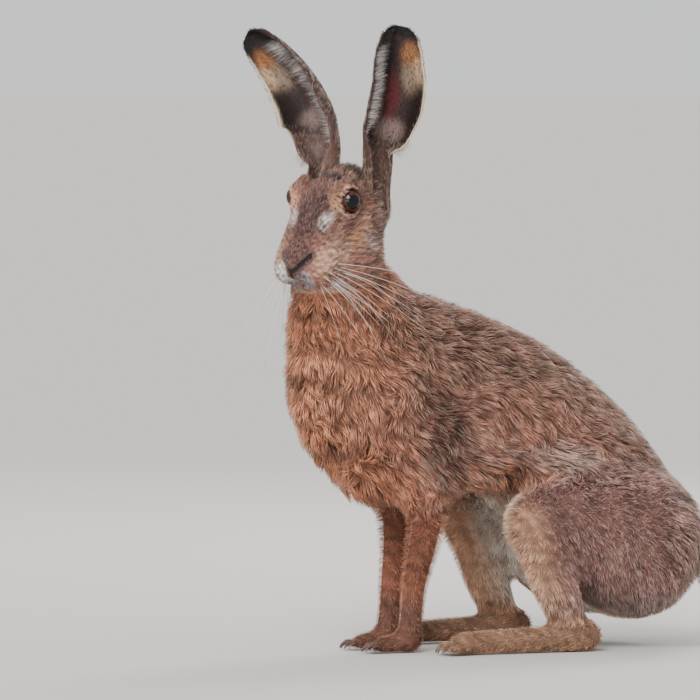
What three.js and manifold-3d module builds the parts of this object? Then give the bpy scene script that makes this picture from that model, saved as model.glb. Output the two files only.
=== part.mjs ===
// Brown hare (Lepus europaeus), an adult at life size, sitting alert: forelegs upright, haunches low, ears up
// and the head turned to its left. Millimetres, +Z up. The hare faces -X, and its left side is -Y.
// The flesh is one soft field of tapered lumps, out to the tips of the short coat. It is meshed zone by zone
// and parted with thin cuts into head, neck, torso, legs, paws and tail. Ears are curved sheets, and eyes,
// claws and whiskers are pieces of their own shapes.

import * as THREE from "three";
import { mergeVertices } from "three/addons/utils/BufferGeometryUtils.js";
import Module from "manifold-3d";

const wasm = await Module();
wasm.setup();

// Driving dimensions
const GAP = 0.3; // between nodes that touch
const BODY_WIDTH = 122; // across the ribs, coat included
const HAUNCH_WIDTH = 178; // across the knees and thighs
const STANCE_FORE = 42; // between the middles of the forepaws
const STANCE_HIND = 130; // between the middles of the hind feet
const HIND_FOOT = 140; // heel to toe tips
const FORE_PAW = 46; // wrist to toe tips, along the floor
const EYE_RADIUS = 10.4;
const EYES_APART = 46; // between the middles of the eyeballs
const HEAD_TURN = 30; // degrees to its left
const HEAD_NOD = 36; // degrees that the muzzle points down
const HEAD_TILT = 4; // degrees that the crown leans to its left
const WHISKER = 0.6; // radius at the root

// Grid cells of the meshed flesh
const CELL_TORSO = 20;
const CELL_THIGH = 15.5;
const CELL_SHOULDER = 13;
const CELL_NECK = 15;
const CELL_TAIL = 10;
const CELL_LEG = 9;
const CELL_HEAD = 6.2;

// Colours of the coat and bare parts
const RUSSET = 0x9a6846;
const AGOUTI = 0x7d6450;
const FACE = 0x8a6450;
const PAD = 0xb9a79a;
const EAR = 0x5b463c;
const BEAD = 0x1b100c;
const HORN = 0x3a3029;

const LEFT = -1;
const RIGHT = 1;
const SIDES = [
  ["left", LEFT],
  ["right", RIGHT],
];
const at = (x, y, z) => new THREE.Vector3(x, y, z);
const degrees = THREE.MathUtils.degToRad;
const mix = THREE.MathUtils.lerp;
const ACROSS = at(0, 1, 0);

// Values at f between stations [f, value, value, ...], eased from one station to the next.
function along(stations, f) {
  const next = Math.max(1, stations.findIndex(([place]) => place >= f));
  const [from, to] = [stations[next - 1], stations[next]];
  const share = THREE.MathUtils.smoothstep(f, from[0], to[0]);
  return from.slice(1).map((value, i) => mix(value, to[i + 1], (share + (f - from[0]) / (to[0] - from[0])) / 2));
}

// Fields: functions of a point that give the distance to a surface, negative inside

// A capsule from a to b whose radius runs from ra to rb, with its width along one direction scaled by slim.
function lump(a, b, ra, rb, slim = 1, across = ACROSS) {
  const stretch = 1 / slim - 1;
  const thin = (p) => p.clone().addScaledVector(across, p.dot(across) * stretch);
  const start = thin(a);
  const way = thin(b).sub(start);
  const long2 = Math.max(way.lengthSq(), 1e-9);
  const { x: cx, y: cy, z: cz } = across;
  return (x, y, z) => {
    const off = (x * cx + y * cy + z * cz) * stretch;
    const dx = x + cx * off - start.x;
    const dy = y + cy * off - start.y;
    const dz = z + cz * off - start.z;
    const t = Math.min(1, Math.max(0, (dx * way.x + dy * way.y + dz * way.z) / long2));
    return Math.hypot(dx - way.x * t, dy - way.y * t, dz - way.z * t) - (ra + (rb - ra) * t);
  };
}

const ball = (p, r) => lump(p, p, r, r);

// Fields joined with fillets of about the given softness.
const melt =
  (softness, ...fields) =>
  (x, y, z) => {
    let d = 1e3;
    for (const field of fields) {
      const e = field(x, y, z);
      const h = Math.max(softness - Math.abs(d - e), 0) / softness;
      d = Math.min(d, e) - (h * h * softness) / 4;
    }
    return d;
  };

// One smooth limb through [x, y, z, radius] stations.
function limb(stations, slim = 1) {
  const middle = new THREE.CatmullRomCurve3(stations.map(([x, y, z]) => at(x, y, z)));
  const girth = new THREE.CatmullRomCurve3(stations.map(([, , , r]) => at(r, 0, 0)));
  const pieces = (stations.length - 1) * 3;
  const links = [];
  for (let i = 0; i < pieces; i++) {
    const [f, g] = [i / pieces, (i + 1) / pieces];
    const [rf, rg] = [girth.getPoint(f).x, girth.getPoint(g).x];
    links.push(lump(middle.getPoint(f), middle.getPoint(g), rf, rg, slim));
  }
  return (x, y, z) => {
    let d = 1e3;
    for (const link of links) d = Math.min(d, link(x, y, z));
    return d;
  };
}

// A field that is given in a turned frame.
function inFrame(frame, field) {
  const e = frame.clone().invert().elements;
  return (x, y, z) =>
    field(
      e[0] * x + e[4] * y + e[8] * z + e[12],
      e[1] * x + e[5] * y + e[9] * z + e[13],
      e[2] * x + e[6] * y + e[10] * z + e[14],
    );
}

// Trunk: the back from withers to seat, the breast before it, and the neck up to the head
const backbone = limb(
  [
    [-98, 0, 238, 54],
    [-65, 0, 216, 66],
    [-33, 0, 202, 68],
    [3, 0, 186, 67],
    [34, 0, 165, 66],
    [60, 0, 144, 65],
    [86, 0, 117, 62],
    [107, 0, 94, 58],
    [117, 0, 80, 52],
  ],
  BODY_WIDTH / 2 / 67,
);
const breast = limb(
  [
    [-134, 0, 268, 47],
    [-122, 0, 226, 63],
    [-118, 0, 198, 62],
    [-106, 0, 166, 50],
  ],
  0.86,
);
const neck = limb(
  [
    [-125, 1, 352, 22],
    [-131, 0, 330, 28],
    [-137, 0, 302, 36],
    [-132, 0, 268, 47],
  ],
  0.9,
);
const rump = melt(20, ...SIDES.map(([, s]) => ball(at(94, s * 34, 82), 56)));
const flanks = SIDES.map(([, s]) => lump(at(-80, s * 30, 148), at(-30, s * 36, 150), 24, 24));
const trunk = melt(18, backbone, breast, neck, rump, ...flanks);

// Head, in its own frame: +X to the nose, +Y to its left, +Z to the crown, from midway between the eyes
const headFrame = new THREE.Matrix4()
  .makeTranslation(-160, -8, 360)
  .multiply(new THREE.Matrix4().makeRotationZ(degrees(180 + HEAD_TURN)))
  .multiply(new THREE.Matrix4().makeRotationY(degrees(HEAD_NOD)))
  .multiply(new THREE.Matrix4().makeRotationX(degrees(-HEAD_TILT)));
const inHead = (x, y, z) => at(x, y, z).applyMatrix4(headFrame);

const headShape = melt(
  7,
  lump(at(-32, 0, -14), at(-8, 0, -9), 23, 22), // braincase
  lump(at(6, 0, -8), at(52, 0, -25), 18.5, 10.5), // bridge of the nose
  lump(at(10, 0, -24), at(44, 0, -32), 19, 13), // muzzle
  lump(at(-14, 0, -38), at(45, 0, -47), 15, 8.5), // lower jaw
  ball(at(60, 0, -27), 5.5), // nose
  ...[LEFT, RIGHT].flatMap((s) => [
    ball(at(-4, s * 17.2, -1.5), 13.7), // brow and socket
    lump(at(-31, s * 18, -32), at(6, s * 14, -30), 18, 14.5), // cheek
    lump(at(7, s * 12.5, -13), at(41, s * 13.5, -27), 14.5, 12.8), // side of the snout
    lump(at(30, s * 12, -32), at(49, s * 14.5, -34), 13, 11.5), // upper lip
    lump(at(-41, s * 17, -10), at(-40, s * 15, -26), 11, 15), // root of the ear
  ]),
);
const head = inFrame(headFrame, headShape);

// Legs
function foreleg(s) {
  const y = (s * STANCE_FORE) / 2;
  return melt(
    8,
    limb([
      [-96, s * 36, 186, 32],
      [-88, s * 35, 150, 28],
      [-78, s * 30, 114, 20],
      [-80, s * 25, 84, 16],
      [-85, y, 56, 12.4],
      [-87, y, 36, 10.6],
      [-89, y, 14, 10.8],
    ]),
    lump(at(-90, y, 8.8), at(-92 - FORE_PAW / 2, y, 6.4), 10, 7.6, 1.15),
  );
}

const heelX = 48;
const toeX = heelX + 10 - HIND_FOOT;
function hindleg(s) {
  const y = (s * STANCE_HIND) / 2;
  const knee = s * (HAUNCH_WIDTH / 2 - 25);
  return melt(
    14,
    limb([
      [100, s * 40, 86, 56],
      [68, s * 42, 98, 54],
      [34, s * 54, 104, 42],
      [2, knee, 104, 27],
    ]),
    limb([
      [4, knee, 98, 25],
      [14, knee, 66, 22],
      [24, y, 38, 17],
      [heelX - 12, y, 16, 12],
    ]),
    lump(at(heelX - 2, y, 11.5), at(toeX + 16, y, 8.8), 12.5, 10, 1.1),
  );
}

const legs = melt(3, ...SIDES.flatMap(([, s]) => [foreleg(s), hindleg(s)]));
const tail = limb([
  [154, 0, 90, 15],
  [174, 0, 80, 17.5],
  [190, 0, 58, 17],
  [194, 0, 36, 11],
]);
const hare = melt(6, melt(24, melt(10, trunk, head), legs), tail);

// Meshing

// The surface of a field inside a box, as a closed solid: one vertex in each cell that the surface crosses,
// then moved onto the surface along the field's slope.
function meshField(field, box, cell) {
  const [nx, ny, nz] = ["x", "y", "z"].map((k) => Math.ceil((box.max[k] - box.min[k]) / cell) + 1);
  const index = (i, j, k) => (k * ny + j) * nx + i;
  const value = new Float64Array(nx * ny * nz);
  for (let k = 0; k < nz; k++)
    for (let j = 0; j < ny; j++)
      for (let i = 0; i < nx; i++) {
        const rim = !i || !j || !k || i === nx - 1 || j === ny - 1 || k === nz - 1;
        const d = field(box.min.x + i * cell, box.min.y + j * cell, box.min.z + k * cell);
        value[index(i, j, k)] = rim ? Math.max(d, cell / 2) : d;
      }
  unpinch(value, nx, ny, cell);
  const vertexOf = new Int32Array(value.length).fill(-1);
  const places = [];
  const corners = [0, 1, 2, 3, 4, 5, 6, 7].map((c) => [c & 1, (c >> 1) & 1, (c >> 2) & 1]);
  for (let k = 0; k < nz - 1; k++)
    for (let j = 0; j < ny - 1; j++)
      for (let i = 0; i < nx - 1; i++) {
        const sum = [0, 0, 0];
        let crossed = 0;
        for (const corner of corners)
          for (let axis = 0; axis < 3; axis++) {
            if (corner[axis]) continue;
            const step = [...corner];
            step[axis] = 1;
            const low = value[index(i + corner[0], j + corner[1], k + corner[2])];
            const high = value[index(i + step[0], j + step[1], k + step[2])];
            if (low < 0 === high < 0) continue;
            corner.forEach((v, q) => (sum[q] += q === axis ? low / (low - high) : v));
            crossed++;
          }
        if (!crossed) continue;
        vertexOf[index(i, j, k)] = places.length / 3;
        places.push(
          box.min.x + (i + sum[0] / crossed) * cell,
          box.min.y + (j + sum[1] / crossed) * cell,
          box.min.z + (k + sum[2] / crossed) * cell,
        );
      }
  settle(field, places, box, cell);
  const faces = [];
  const stride = [1, nx, nx * ny];
  for (let k = 0; k < nz - 1; k++)
    for (let j = 0; j < ny - 1; j++)
      for (let i = 0; i < nx - 1; i++)
        for (let axis = 0; axis < 3; axis++) {
          const here = index(i, j, k);
          const inside = value[here] < 0;
          if (inside === value[here + stride[axis]] < 0) continue;
          const u = stride[(axis + 1) % 3];
          const v = stride[(axis + 2) % 3];
          const ring = [here - u - v, here - v, here, here - u].map((c) => vertexOf[c]);
          if (!inside) ring.reverse();
          const [p, q, r, t] = ring;
          faces.push(p, q, r, p, r, t);
        }
  return solidOf(places, faces);
}

// Empties grid points where the solid would touch itself along a single edge.
function unpinch(value, nx, ny, cell) {
  const stride = [1, nx, nx * ny];
  let pinched = true;
  while (pinched) {
    pinched = false;
    for (let here = 0; here < value.length - stride[2] - nx - 1; here++)
      for (let axis = 0; axis < 3; axis++) {
        const u = stride[axis];
        const v = stride[(axis + 1) % 3];
        const [p, q, r, t] = [here, here + u, here + u + v, here + v].map((c) => value[c] < 0);
        if (p !== r || q !== t || p === q) continue;
        const [a, b] = p ? [here, here + u + v] : [here + u, here + v];
        value[value[a] > value[b] ? a : b] = cell * 0.1;
        pinched = true;
      }
  }
}

// Moves points onto the field's surface, no further than half a cell, and not those by the box's own walls.
function settle(field, places, box, cell) {
  const e = 0.2;
  for (let i = 0; i < places.length; i += 3) {
    const start = places.slice(i, i + 3);
    const p = [...start];
    const walls = ["x", "y", "z"].map((k, q) => Math.min(p[q] - box.min[k], box.max[k] - p[q]));
    if (Math.min(...walls) < cell * 1.5) continue;
    for (let turn = 0; turn < 3; turn++) {
      const d = field(...p);
      const slope = [0, 1, 2].map((q) => {
        const ahead = [...p];
        ahead[q] += e;
        return (field(...ahead) - d) / e;
      });
      const steep = Math.max(Math.hypot(...slope) ** 2, 0.1);
      slope.forEach((g, q) => (p[q] -= (g * d) / steep));
    }
    p.forEach((v, q) => {
      places[i + q] = start[q] + THREE.MathUtils.clamp(v - start[q], -cell / 2, cell / 2);
    });
  }
}

// The nearest place to a point that stands off the coat by a height.
function ontoCoat(point, height = 0) {
  const p = point.clone();
  const e = 0.1;
  for (let turn = 0; turn < 6; turn++) {
    const d = hare(p.x, p.y, p.z) - height;
    const slope = at(
      hare(p.x + e, p.y, p.z) - height - d,
      hare(p.x, p.y + e, p.z) - height - d,
      hare(p.x, p.y, p.z + e) - height - d,
    ).divideScalar(e);
    p.addScaledVector(slope, -d / Math.max(slope.lengthSq(), 0.1));
  }
  return p;
}

// The same point, or where it would lie in or near the coat, one that clears it.
function clearOfCoat(point, height) {
  return hare(point.x, point.y, point.z) < height ? ontoCoat(point, height) : point;
}

// Solids

function solidOf(places, faces) {
  return new wasm.Manifold(
    new wasm.Mesh({
      numProp: 3,
      vertProperties: new Float32Array(places),
      triVerts: new Uint32Array(faces),
    }),
  );
}

// A three.js geometry as a solid, placed by a matrix.
function solidFrom(geometry, matrix = new THREE.Matrix4()) {
  const bare = geometry.clone();
  bare.deleteAttribute("normal");
  bare.deleteAttribute("uv");
  bare.applyMatrix4(matrix);
  const merged = mergeVertices(bare, 1e-3);
  const faces = merged.index ? merged.index.array : [...merged.attributes.position.array.keys()];
  return solidOf(merged.attributes.position.array, faces);
}

// An upright box between two corners, moved out on all sides by grow.
function block(low, high, grow = 0) {
  const size = high.clone().sub(low).addScalar(2 * grow);
  const middle = low.clone().add(high).multiplyScalar(0.5);
  return solidFrom(
    new THREE.BoxGeometry(size.x, size.y, size.z),
    new THREE.Matrix4().makeTranslation(middle.x, middle.y, middle.z),
  );
}

// Everything on one side of a plane, from half a gap beyond it.
function beyond(point, normal) {
  const reach = 700;
  const up = normal.clone().normalize();
  const turn = new THREE.Quaternion().setFromUnitVectors(at(0, 0, 1), up);
  const middle = point.clone().addScaledVector(up, reach / 2 + GAP / 2);
  return solidFrom(
    new THREE.BoxGeometry(reach, reach, reach),
    new THREE.Matrix4().compose(middle, turn, at(1, 1, 1)),
  );
}

// An ellipsoid, moved out by grow, and turned by a quaternion where one is given.
function egg(middle, radii, grow = 0, turn = new THREE.Quaternion(), detail = 14) {
  return solidFrom(
    new THREE.SphereGeometry(1, detail, Math.round(detail * 0.7)),
    new THREE.Matrix4().compose(middle, turn, radii.clone().addScalar(grow)),
  );
}

// Faces that close a ring of corners, each joined to the corner that it meets when the ring is folded flat.
function foldedCap(count) {
  const faces = [];
  for (let j = 1; j < count / 2; j++) {
    const [a, b, c, d] = [j - 1, j, count - 1 - j, count - j];
    faces.push([a, b, c], [a, c, d]);
  }
  return faces;
}

// Faces that close a round ring of corners as a fan.
function fanCap(count) {
  return Array.from({ length: count - 2 }, (_, j) => [0, j + 1, j + 2]);
}

// Rings of points joined in turn, with a cap over each end.
function loft(rings, cap) {
  const count = rings[0].length;
  const places = rings.flat().flatMap((p) => p.toArray());
  const faces = [];
  for (let i = 0; i < rings.length - 1; i++)
    for (let j = 0; j < count; j++) {
      const [a, b] = [i * count + j, i * count + ((j + 1) % count)];
      faces.push(a, b, b + count, a, b + count, a + count);
    }
  const last = (rings.length - 1) * count;
  for (const [a, b, c] of cap(count)) {
    faces.push(a, c, b);
    faces.push(last + a, last + b, last + c);
  }
  return solidOf(places, faces);
}

// A round strand along points, tapering from one radius to another.
function strand(points, from, to, sides = 6, rows = 6) {
  const path = new THREE.CatmullRomCurve3(points);
  const frames = path.computeFrenetFrames(rows);
  const rings = [];
  for (let i = 0; i <= rows; i++) {
    const middle = path.getPointAt(i / rows);
    const radius = mix(from, to, i / rows);
    rings.push(
      Array.from({ length: sides }, (_, j) => {
        const turn = (j / sides) * Math.PI * 2;
        return middle
          .clone()
          .addScaledVector(frames.normals[i], radius * Math.cos(turn))
          .addScaledVector(frames.binormals[i], radius * Math.sin(turn));
      }),
    );
  }
  return loft(rings, fanCap);
}

const largest = (solid) =>
  solid.decompose().reduce((a, b) => (b.volume() > a.volume() ? b : a));

const group = new THREE.Group();

function addNode(name, solid, colour, roughness = 0.9) {
  const { vertProperties, triVerts } = largest(solid).getMesh();
  const geometry = new THREE.BufferGeometry()
    .setAttribute("position", new THREE.BufferAttribute(vertProperties, 3))
    .setIndex(new THREE.BufferAttribute(triVerts, 1));
  const material = new THREE.MeshStandardMaterial({ color: colour, roughness, metalness: 0 });
  const mesh = new THREE.Mesh(geometry, material);
  mesh.name = name;
  group.add(mesh);
}

// The flesh between two corners, meshed with a margin and cut clean at the corners' box.
function fleshIn(low, high, cell) {
  const margin = cell * 2;
  const box = new THREE.Box3(low.clone().subScalar(margin), high.clone().addScalar(margin));
  return meshField(hare, box, cell).intersect(block(low, high));
}

// Where the flesh is parted
const JAW_PLANE = [at(-173, -15.5, 284), at(-0.345, -0.199, 0.917)];
const COLLAR_PLANE = [at(-130, 0, 250), at(-0.45, 0, 0.89)];
const above = ([point, normal]) => beyond(point, normal);
const below = ([point, normal]) => beyond(point, normal.clone().negate());
const side = (s, x0, x1, y0, y1, z0, z1) => [
  at(x0, Math.min(s * y0, s * y1), z0),
  at(x1, Math.max(s * y0, s * y1), z1),
];
const wristZ = 34;
const elbowZ = 108;
const ankleZ = 33;
const forearmBox = (s) => side(s, -130, -52, 1, 62, wristZ, elbowZ);
const underFloor = -5;
const forepawBox = (s) => side(s, -160, -60, 1, 42, underFloor, wristZ);
const hindFootBox = (s) => side(s, toeX - 30, 63, 40, 100, underFloor, ankleZ);
const upperArmCut = (s, grow) => egg(at(-90, s * 54, 160), at(36, 32, 58), grow);

function thighCut(s, grow) {
  const haunch = egg(at(66, s * 92, 98), at(118, 66, 84), grow, undefined, 20);
  const kneecap = egg(at(2, s * 70, 102), at(36, 36, 36), grow, undefined, 12);
  return haunch.add(kneecap);
}

// The shin's box, laid along the bone from below the knee past the heel.
function shankCut(s, grow) {
  const top = at(8, s * 66, 80);
  const foot = at(heelX - 12, s * 65, 14);
  const way = foot.clone().sub(top);
  const turn = new THREE.Quaternion().setFromUnitVectors(at(0, 0, -1), way.clone().normalize());
  const middle = top.clone().addScaledVector(way, 0.5);
  return solidFrom(
    new THREE.BoxGeometry(52 + 2 * grow, 70 + 2 * grow, way.length() + 2 * grow),
    new THREE.Matrix4().compose(middle, turn, at(1, 1, 1)),
  );
}

function addTorso() {
  let torso = fleshIn(at(-200, -110, 0), at(176, 110, 330), CELL_TORSO)
    .intersect(below(COLLAR_PLANE))
    .subtract(block(at(166, -24, 20), at(240, 24, 100), GAP / 2));
  for (const [, s] of SIDES) {
    torso = torso
      .subtract(upperArmCut(s, GAP / 2))
      .subtract(thighCut(s, GAP / 2))
      .subtract(shankCut(s, GAP / 2))
      .subtract(block(...forearmBox(s), GAP / 2))
      .subtract(block(...forepawBox(s), GAP / 2))
      .subtract(block(...hindFootBox(s), GAP / 2));
  }
  addNode("torso", torso, AGOUTI);
}

function addNeck() {
  const solid = fleshIn(at(-215, -75, 200), at(-40, 75, 360), CELL_NECK);
  addNode("neck", solid.intersect(below(JAW_PLANE)).intersect(above(COLLAR_PLANE)), RUSSET);
}

function addTail() {
  const solid = fleshIn(at(166, -24, 20), at(240, 24, 100), CELL_TAIL);
  addNode("tail", solid.subtract(block(at(100, -30, 0), at(166, 30, 120), GAP / 2)), AGOUTI);
}

// Four toes as small pads on the front of a paw, with a claw sunk into each. They fan out over the spread, and
// reach ahead of the paw's middle at the height of low.
function toesOf(name, middle, spread, reach, low) {
  const toes = [];
  for (let i = 0; i < 4; i++) {
    const fan = (i - 1.5) / 1.5;
    const tip = at(middle.x - reach * (1 - 0.18 * fan * fan), middle.y + (fan * spread) / 2, low);
    const root = at(middle.x + reach * 0.3, middle.y + (fan * spread) / 3.4, low + 2);
    const way = tip.clone().sub(root);
    const turn = new THREE.Quaternion().setFromUnitVectors(at(-1, 0, 0), way.clone().normalize());
    const pad = new THREE.Matrix4().compose(
      root.clone().add(tip).multiplyScalar(0.5),
      turn,
      at(way.length() / 2 + 3.5, low * 0.95, low * 1.3),
    );
    const ahead = way.clone().normalize();
    const bed = tip.clone().addScaledVector(ahead, -3).add(at(0, 0, 1.6));
    const crook = tip.clone().addScaledVector(ahead, 2.5).add(at(0, 0, 0.6));
    const point = tip.clone().addScaledVector(ahead, 5).add(at(0, 0, 2.4 - low));
    toes.push({
      pad: solidFrom(new THREE.OctahedronGeometry(1, 1), pad),
      claw: strand([bed, crook, point], 1.7, 0.5, 4, 3),
      bed: strand([bed.clone().addScaledVector(ahead, -1), crook, point], 2.2, 1.5, 4, 3),
      name: `claw_${name}_${i + 1}`,
    });
  }
  return toes;
}

function addPaw(name, solid, toes, colour) {
  const floor = beyond(at(0, 0, -GAP / 2), at(0, 0, 1));
  let paw = solid;
  for (const toe of toes) paw = paw.add(toe.pad);
  for (const toe of toes) paw = paw.subtract(toe.bed);
  addNode(name, paw.intersect(floor), colour);
  for (const toe of toes) addNode(toe.name, toe.claw.intersect(floor), HORN, 0.45);
}

function addForeleg(name, s) {
  const shoulder = fleshIn(...side(s, -135, -50, 4, 90, 96, 230), CELL_SHOULDER);
  addNode(
    `upper_arm_${name}`,
    shoulder.intersect(upperArmCut(s, -GAP / 2)).subtract(block(...forearmBox(s), GAP / 2)),
    AGOUTI,
  );
  const forearm = fleshIn(...forearmBox(s), CELL_LEG);
  addNode(`forearm_${name}`, forearm.intersect(block(...forearmBox(s), -GAP / 2)), RUSSET);
  const paw = fleshIn(...forepawBox(s), CELL_LEG);
  const middle = at(-92 - FORE_PAW / 2, (s * STANCE_FORE) / 2, 0);
  addPaw(
    `forepaw_${name}`,
    paw.intersect(block(...forepawBox(s), -GAP / 2)),
    toesOf(`forepaw_${name}`, middle, 16, 9, 5),
    RUSSET,
  );
}

function addHindleg(name, s) {
  const haunch = fleshIn(...side(s, -50, 190, 10, 110, 0, 190), CELL_THIGH);
  addNode(
    `thigh_${name}`,
    haunch
      .intersect(thighCut(s, -GAP / 2))
      .subtract(shankCut(s, GAP / 2))
      .subtract(block(...hindFootBox(s), GAP / 2)),
    AGOUTI,
  );
  const shin = fleshIn(...side(s, -40, 90, 25, 110, 0, 120), CELL_LEG);
  addNode(
    `shank_${name}`,
    shin.intersect(shankCut(s, -GAP / 2)).subtract(block(...hindFootBox(s), GAP / 2)),
    AGOUTI,
  );
  const foot = fleshIn(...hindFootBox(s), CELL_LEG);
  const middle = at(toeX + 16, (s * STANCE_HIND) / 2, 0);
  addPaw(
    `hind_foot_${name}`,
    foot.intersect(block(...hindFootBox(s), -GAP / 2)),
    toesOf(`hind_foot_${name}`, middle, 23, 12, 6),
    RUSSET,
  );
}

// Head: flesh above the jaw plane, with sockets, lids, nostrils and mouth, and the whisker pads set apart.
// In the head's own frame a side's outward direction is +Y for the left.
const outward = (s) => -s;
const headWay = (x, y, z) => at(x, y, z).transformDirection(headFrame);
const eyeMiddle = (s) => inHead(-3.5, (outward(s) * EYES_APART) / 2, -0.5);
const gaze = (s) => headWay(0.22, outward(s) * 0.96, 0.14);
const padMiddle = (s) => inHead(47, outward(s) * 16, -34);
const PAD_RADII = at(13, 13, 13);
const EYE_RADII = at(EYE_RADIUS, EYE_RADIUS, EYE_RADIUS);

function lids(s) {
  const turn = new THREE.Quaternion().setFromUnitVectors(at(0, 0, 1), gaze(s));
  const middle = eyeMiddle(s).addScaledVector(gaze(s), EYE_RADIUS * 0.56);
  return solidFrom(
    new THREE.TorusGeometry(EYE_RADIUS * 0.86, 1.5, 5, 15),
    new THREE.Matrix4().compose(middle, turn, at(1, 1, 1)),
  );
}

// A groove cut along places on the coat, given in the head's frame.
const groove = (width, ...places) =>
  strand(
    places.map(([x, y, z]) => ontoCoat(inHead(x, y, z))),
    width,
    width * 0.7,
    4,
    4,
  );

function faceGrooves() {
  const cuts = [groove(1.3, [66, 0, -30], [64, 0, -37], [60, 0, -44])];
  for (const [, s] of SIDES) {
    const o = outward(s);
    cuts.push(groove(2.2, [66, o * 1.2, -30], [64, o * 5, -26], [60, o * 9, -21]));
    cuts.push(groove(1.3, [60, o * 0.5, -45], [56, o * 9, -48], [46, o * 20, -48]));
  }
  return cuts;
}

// Where each whisker runs: two rows, the rear ones longer, and more of them hanging on the right.
function whiskerPaths(s) {
  const paths = [];
  for (let i = 0; i < 8; i++) {
    const row = i % 2;
    const back = (i >> 1) / 3;
    const bed = headWay(mix(0.3, -0.2, back), outward(s) * 0.9, 0.15 - row * 0.55);
    const root = padMiddle(s).addScaledVector(bed, PAD_RADII.x * 0.5);
    const long = mix(54, 80, back) - row * 6;
    const hang = s === RIGHT ? row : row * 0.4;
    const way = headWay(mix(0.2, -0.4, back), outward(s) * 0.85, -0.35 - hang * 0.5);
    const droop = at(0, 0, -long * (0.18 + 0.15 * hang));
    const middle = root.clone().addScaledVector(way, long * 0.5).addScaledVector(droop, 0.25);
    const tip = root.clone().addScaledVector(way, long).add(droop);
    paths.push([root, clearOfCoat(middle, 5), clearOfCoat(tip, 5)]);
  }
  return paths;
}

function addHead() {
  let skull = fleshIn(at(-225, -75, 262), at(-70, 75, 412), CELL_HEAD).intersect(above(JAW_PLANE));
  for (const [, s] of SIDES) skull = skull.add(lids(s));
  for (const cut of faceGrooves()) skull = skull.subtract(cut);
  const whole = skull;
  for (const [name, s] of SIDES) {
    skull = skull.subtract(egg(eyeMiddle(s), EYE_RADII, GAP, undefined, 16));
    skull = skull.subtract(egg(padMiddle(s), PAD_RADII, GAP / 2, undefined, 12));
    addNode(`eye_${name}`, egg(eyeMiddle(s), EYE_RADII, 0, undefined, 16), BEAD, 0.08);
    const half = beyond(inHead(0, 0, 0), headWay(0, outward(s), 0));
    let pad = whole.intersect(egg(padMiddle(s), PAD_RADII, -GAP / 2, undefined, 12)).intersect(half);
    for (const path of whiskerPaths(s)) {
      pad = pad.add(strand(path, WHISKER, WHISKER / 2, 3, 3));
      skull = skull.subtract(strand(path, WHISKER + GAP * 2, WHISKER / 2 + GAP * 2, 3, 3));
    }
    addNode(`whisker_pad_${name}`, pad, PAD);
  }
  addNode("head", skull, FACE);
}

// Ears: a folded sheet that starts as a tube in the head and opens into a cup, given by the line up its back,
// the way that it opens, and [share of length, half width, depth, rear angle, front angle] stations
const EAR_FORM = [
  [0, 10.5, 10.5, 150, 150],
  [0.34, 12, 12, 135, 145],
  [0.45, 19.5, 18, 92, 118],
  [0.58, 22, 21, 88, 112],
  [0.74, 21.5, 20, 80, 96],
  [0.86, 20.5, 16.5, 75, 82],
  [0.94, 17.5, 12, 70, 72],
  [0.98, 13, 8.5, 66, 66],
  [1, 7.5, 5.5, 60, 60],
];
const EARS = {
  left: {
    back: [
      at(-109, 6, 350),
      at(-112, 2, 366),
      at(-113, -2, 386),
      at(-114, -6, 402),
      at(-109, -12, 422),
      at(-105, -17, 446),
      at(-105, -23, 470),
      at(-101, -28, 497),
    ],
    opens: at(-0.07, -1, 0),
    deeper: 1,
    notch: 0,
  },
  right: {
    back: [
      at(-141, 17, 356),
      at(-138, 20, 370),
      at(-133, 24, 387),
      at(-132, 30, 406),
      at(-133, 39, 428),
      at(-143, 48, 451),
      at(-157, 57, 469),
      at(-173, 65, 482),
      at(-190, 72, 490),
    ],
    opens: at(-0.97, -0.26, 0),
    deeper: 1.3,
    notch: 0.24,
  },
};

function earSheet(name, s) {
  const { back, opens, deeper, notch } = EARS[name];
  const spine = new THREE.CatmullRomCurve3(back);
  const rows = 18;
  const columns = 8;
  const rings = [];
  for (let i = 0; i <= rows; i++) {
    const f = 1 - (1 - i / rows) ** 1.25;
    const [wide, depth, rear, front] = along(EAR_FORM, f + notch * (1 - f));
    const deep = mix(depth, depth * deeper, THREE.MathUtils.smoothstep(f, 0.3, 0.5));
    const up = spine.getTangentAt(f);
    const open = opens.clone().addScaledVector(up, -opens.dot(up)).normalize();
    const out = up.clone().cross(open).multiplyScalar(s).normalize();
    const middle = spine.getPointAt(f).addScaledVector(open, deep);
    const wall = mix(3.2, 1.5, f);
    const arc = (shrink) =>
      Array.from({ length: columns + 1 }, (_, j) => {
        const turn = degrees(mix(-front, rear, j / columns));
        return middle
          .clone()
          .addScaledVector(out, (wide - shrink) * Math.sin(turn))
          .addScaledVector(open, -(deep - shrink) * Math.cos(turn));
      });
    const ring = [...arc(0), ...arc(wall).reverse()];
    rings.push(s === LEFT ? ring : ring.reverse());
  }
  return loft(rings, foldedCap);
}

function addEar(name, s) {
  const sheet = earSheet(name, s);
  const { back } = EARS[name];
  const box = new THREE.Box3().setFromPoints(back.slice(0, 4)).expandByScalar(32);
  const seat = meshField((x, y, z) => hare(x, y, z) - GAP * 2.4, box, CELL_HEAD);
  addNode(`ear_${name}`, sheet.subtract(seat), EAR);
}

addTorso();
addNeck();
addTail();
addHead();
for (const [name, s] of SIDES) {
  addEar(name, s);
  addForeleg(name, s);
  addHindleg(name, s);
}

// The origin is on the floor, under the middle of the whole.
const bounds = new THREE.Box3().setFromObject(group);
const centre = bounds.getCenter(at(0, 0, 0));
group.position.set(-centre.x, -centre.y, 0);

export default group;
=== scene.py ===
import bmesh
import bpy
import numpy as np
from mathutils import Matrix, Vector, kdtree


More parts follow.
